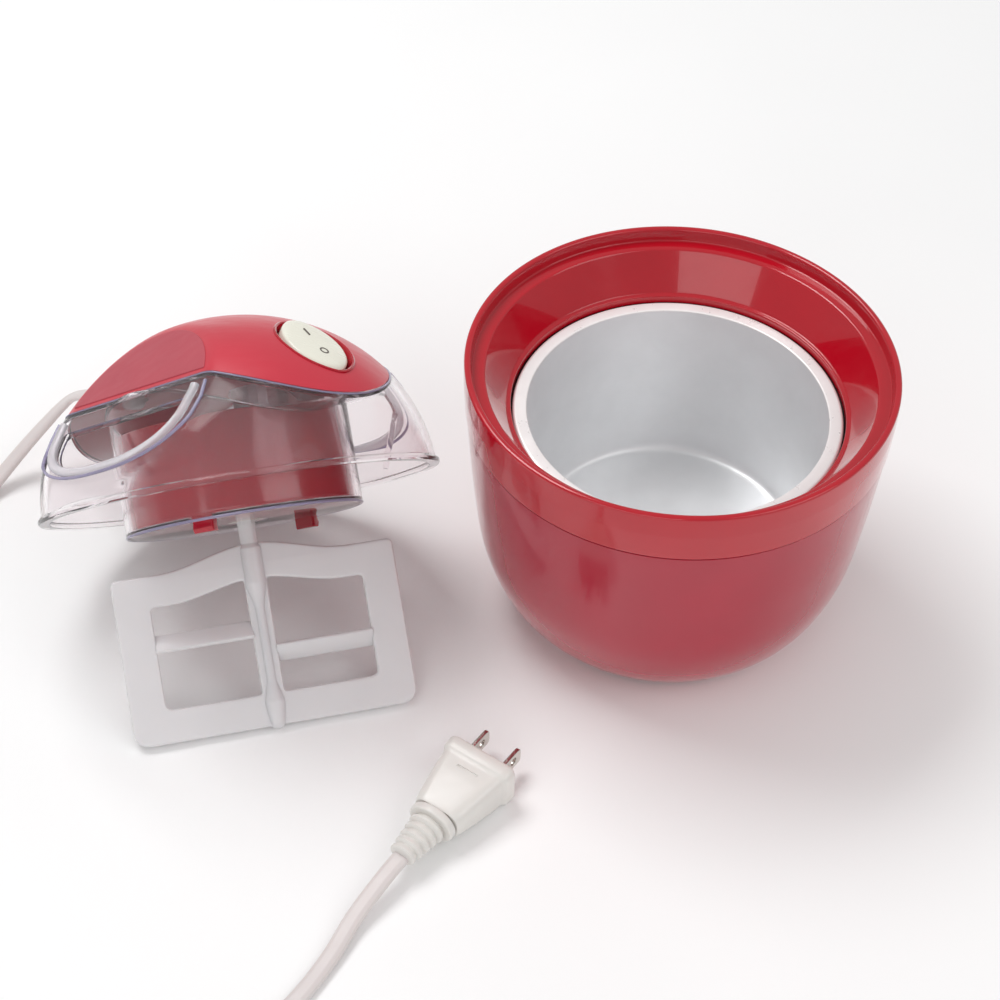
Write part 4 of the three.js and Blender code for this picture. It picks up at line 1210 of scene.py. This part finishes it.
# -------------------- plug
PLUG_PLACE = shifted(-86.5 * MM, -129.2 * MM, 8.05 * MM) @ turned(radians(55.6), "Z")
PLUG_RELIEF = 18.5 * MM
PLUG_LENGTH = 27.5 * MM
BLADE_SPACING = 12.7 * MM
BLADE_LENGTH = 11 * MM
BLADE_HALF = 3.2 * MM
PLUG_STATIONS = (  # along the plug, half width, half thickness and corner radius, in millimetres
    (0.3, 8.4, 5.2, 4.6), (1.0, 8.9, 5.5, 4.6), (3.5, 9.4, 5.8, 4.4), (9, 10.3, 6.5, 4), (15, 11.2, 7.0, 3.6),
    (19.5, 11.7, 7.2, 3.4), (20.6, 12.0, 7.3, 3.4), (21.3, 12.6, 7.7, 3.4), (22.0, 12.95, 7.95, 3.4),
    (25.2, 13.0, 8.0, 3.4), (25.9, 12.8, 7.8, 3.3), (26.4, 12.3, 7.3, 3.0), (26.5, 11.5, 6.5, 2.6),
)


def make_plug():
    ribs_length = PLUG_RELIEF - 3.4 * MM
    relief = ribbed(0.2 * MM, ribs_length, 4.7 * MM, 6.4 * MM, flat=0.82, collar=(8.4 * MM, 3 * MM))
    obj = add_object("plug_relief_skin", relief, MATERIALS["plug"], "lid", PLUG_PLACE)
    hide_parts("plug_relief")
    pieces = [obj]

    rows = []
    for x, y, z, r in PLUG_STATIONS:
        corners = [(*corner, r * MM) for corner in rectangle(y * MM, z * MM)]
        outline = fillet(corners, closed=True, steps=6)
        rows.append([Vector((PLUG_RELIEF + x * MM, a, b)) for a, b in outline])
    body = grid("plug_body_skin", rows, cap=True)
    groove = moved(block("groove", (0.9 * MM, 8 * MM, 1.0 * MM), bevel=0.2 * MM, segments=2),
                   shifted(PLUG_RELIEF + 17 * MM, 0, 7.15 * MM))
    body = carve(body, groove)
    obj = add_object("plug_body_skin", body, MATERIALS["plug"], "lid", PLUG_PLACE)
    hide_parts("plug_body")
    pieces.append(obj)

    face = PLUG_RELIEF + PLUG_LENGTH - 1 * MM
    for side, node in ((-1, "plug_blade_right"), (1, "plug_blade_left")):
        corners = [
            (-1 * MM, -BLADE_HALF),
            (BLADE_LENGTH, -BLADE_HALF, 1.8 * MM),
            (BLADE_LENGTH, BLADE_HALF, 1.8 * MM),
            (-1 * MM, BLADE_HALF),
        ]
        hole = [(x + BLADE_LENGTH - 4.2 * MM, y) for x, y in oval(1.5 * MM, 1.5 * MM, 20)]
        blade = plate(node, fillet(corners, closed=True), 1.5 * MM, 0.3 * MM, holes=[hole])
        place = PLUG_PLACE @ shifted(face, side * BLADE_SPACING / 2, 0) @ turned(pi / 2, "X")
        obj = add_object(node + "_skin", blade, MATERIALS["nickel"], "lid", place)
        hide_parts(node)
        pieces.append(obj)
    return pieces


# -------------------- CAD nodes with better materials
CARRIED = {
    "bowl_seal": "rubber", "coolant_gel": "gel", "filler_stopper": "rubber", "base_pad": "rubber",
    "drive_bush": "brass", "output_wheel": "nylon", "second_wheel": "nylon", "first_wheel": "nylon",
    "first_pin": "steel", "second_pin": "steel", "gear_plate": "steel", "motor_screw_1": "steel",
    "motor_screw_2": "steel", "motor_can": "steel", "motor_magnet": "black", "motor_rotor": "steel",
    "motor_pinion": "brass", "switch_body": "black",
}


def repaint_nodes():
    for node, material in CARRIED.items():
        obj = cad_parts[node]
        for slot in obj.material_slots:
            slot.material = MATERIALS[material]


# -------------------- studio
def area_light(name, place, aim, size, power):
    data = bpy.data.lights.new(name, "AREA")
    data.shape = "RECTANGLE"
    data.size, data.size_y = size
    data.energy = power
    light = bpy.data.objects.new(name, data)
    light.location = place
    direction = Vector(aim) - Vector(place)
    light.rotation_euler = direction.to_track_quat("-Z", "Y").to_euler()
    bpy.context.collection.objects.link(light)


def make_studio():
    floor_material, tree, shader = new_material("pale_floor")
    tone = noise(tree, coordinates(tree), 6, detail=2)
    colours = two_colours(tree, tone, (0.97, 0.97, 0.97), (0.99, 0.99, 0.99))
    tree.links.new(colours, shader.inputs["Base Color"])
    fill(shader, Roughness=0.75)
    floor = mesh_from("floor", [(x, y, 0) for x, y in rectangle(3, 3)], [(0, 1, 2, 3)])
    floor.materials.append(floor_material)
    obj = bpy.data.objects.new("floor", floor)
    bpy.context.collection.objects.link(obj)

    world = bpy.data.worlds.new("studio")
    world.use_nodes = True
    background = world.node_tree.nodes["Background"]
    fill(background, Color=(1, 1, 1, 1), Strength=0.5)
    bpy.context.scene.world = world
    area_light("key", (-0.5, 0.35, 1.1), (-0.05, 0, 0.05), (0.7, 0.5), 7)
    area_light("fill", (0.8, -0.5, 0.9), (0, 0, 0.05), (0.8, 0.8), 3)
    area_light("front", (-0.4, -1.0, 0.5), (-0.05, 0, 0.05), (0.9, 0.5), 2)
    bpy.context.scene.view_settings.view_transform = "Standard"


make_camera()
plug_pieces = make_plug()
make_cord_relief()
make_cord(plug_pieces)
make_base()
make_bowl()
make_lid()
make_cover()
make_rocker()
make_housing()
make_paddle()
repaint_nodes()
make_studio()
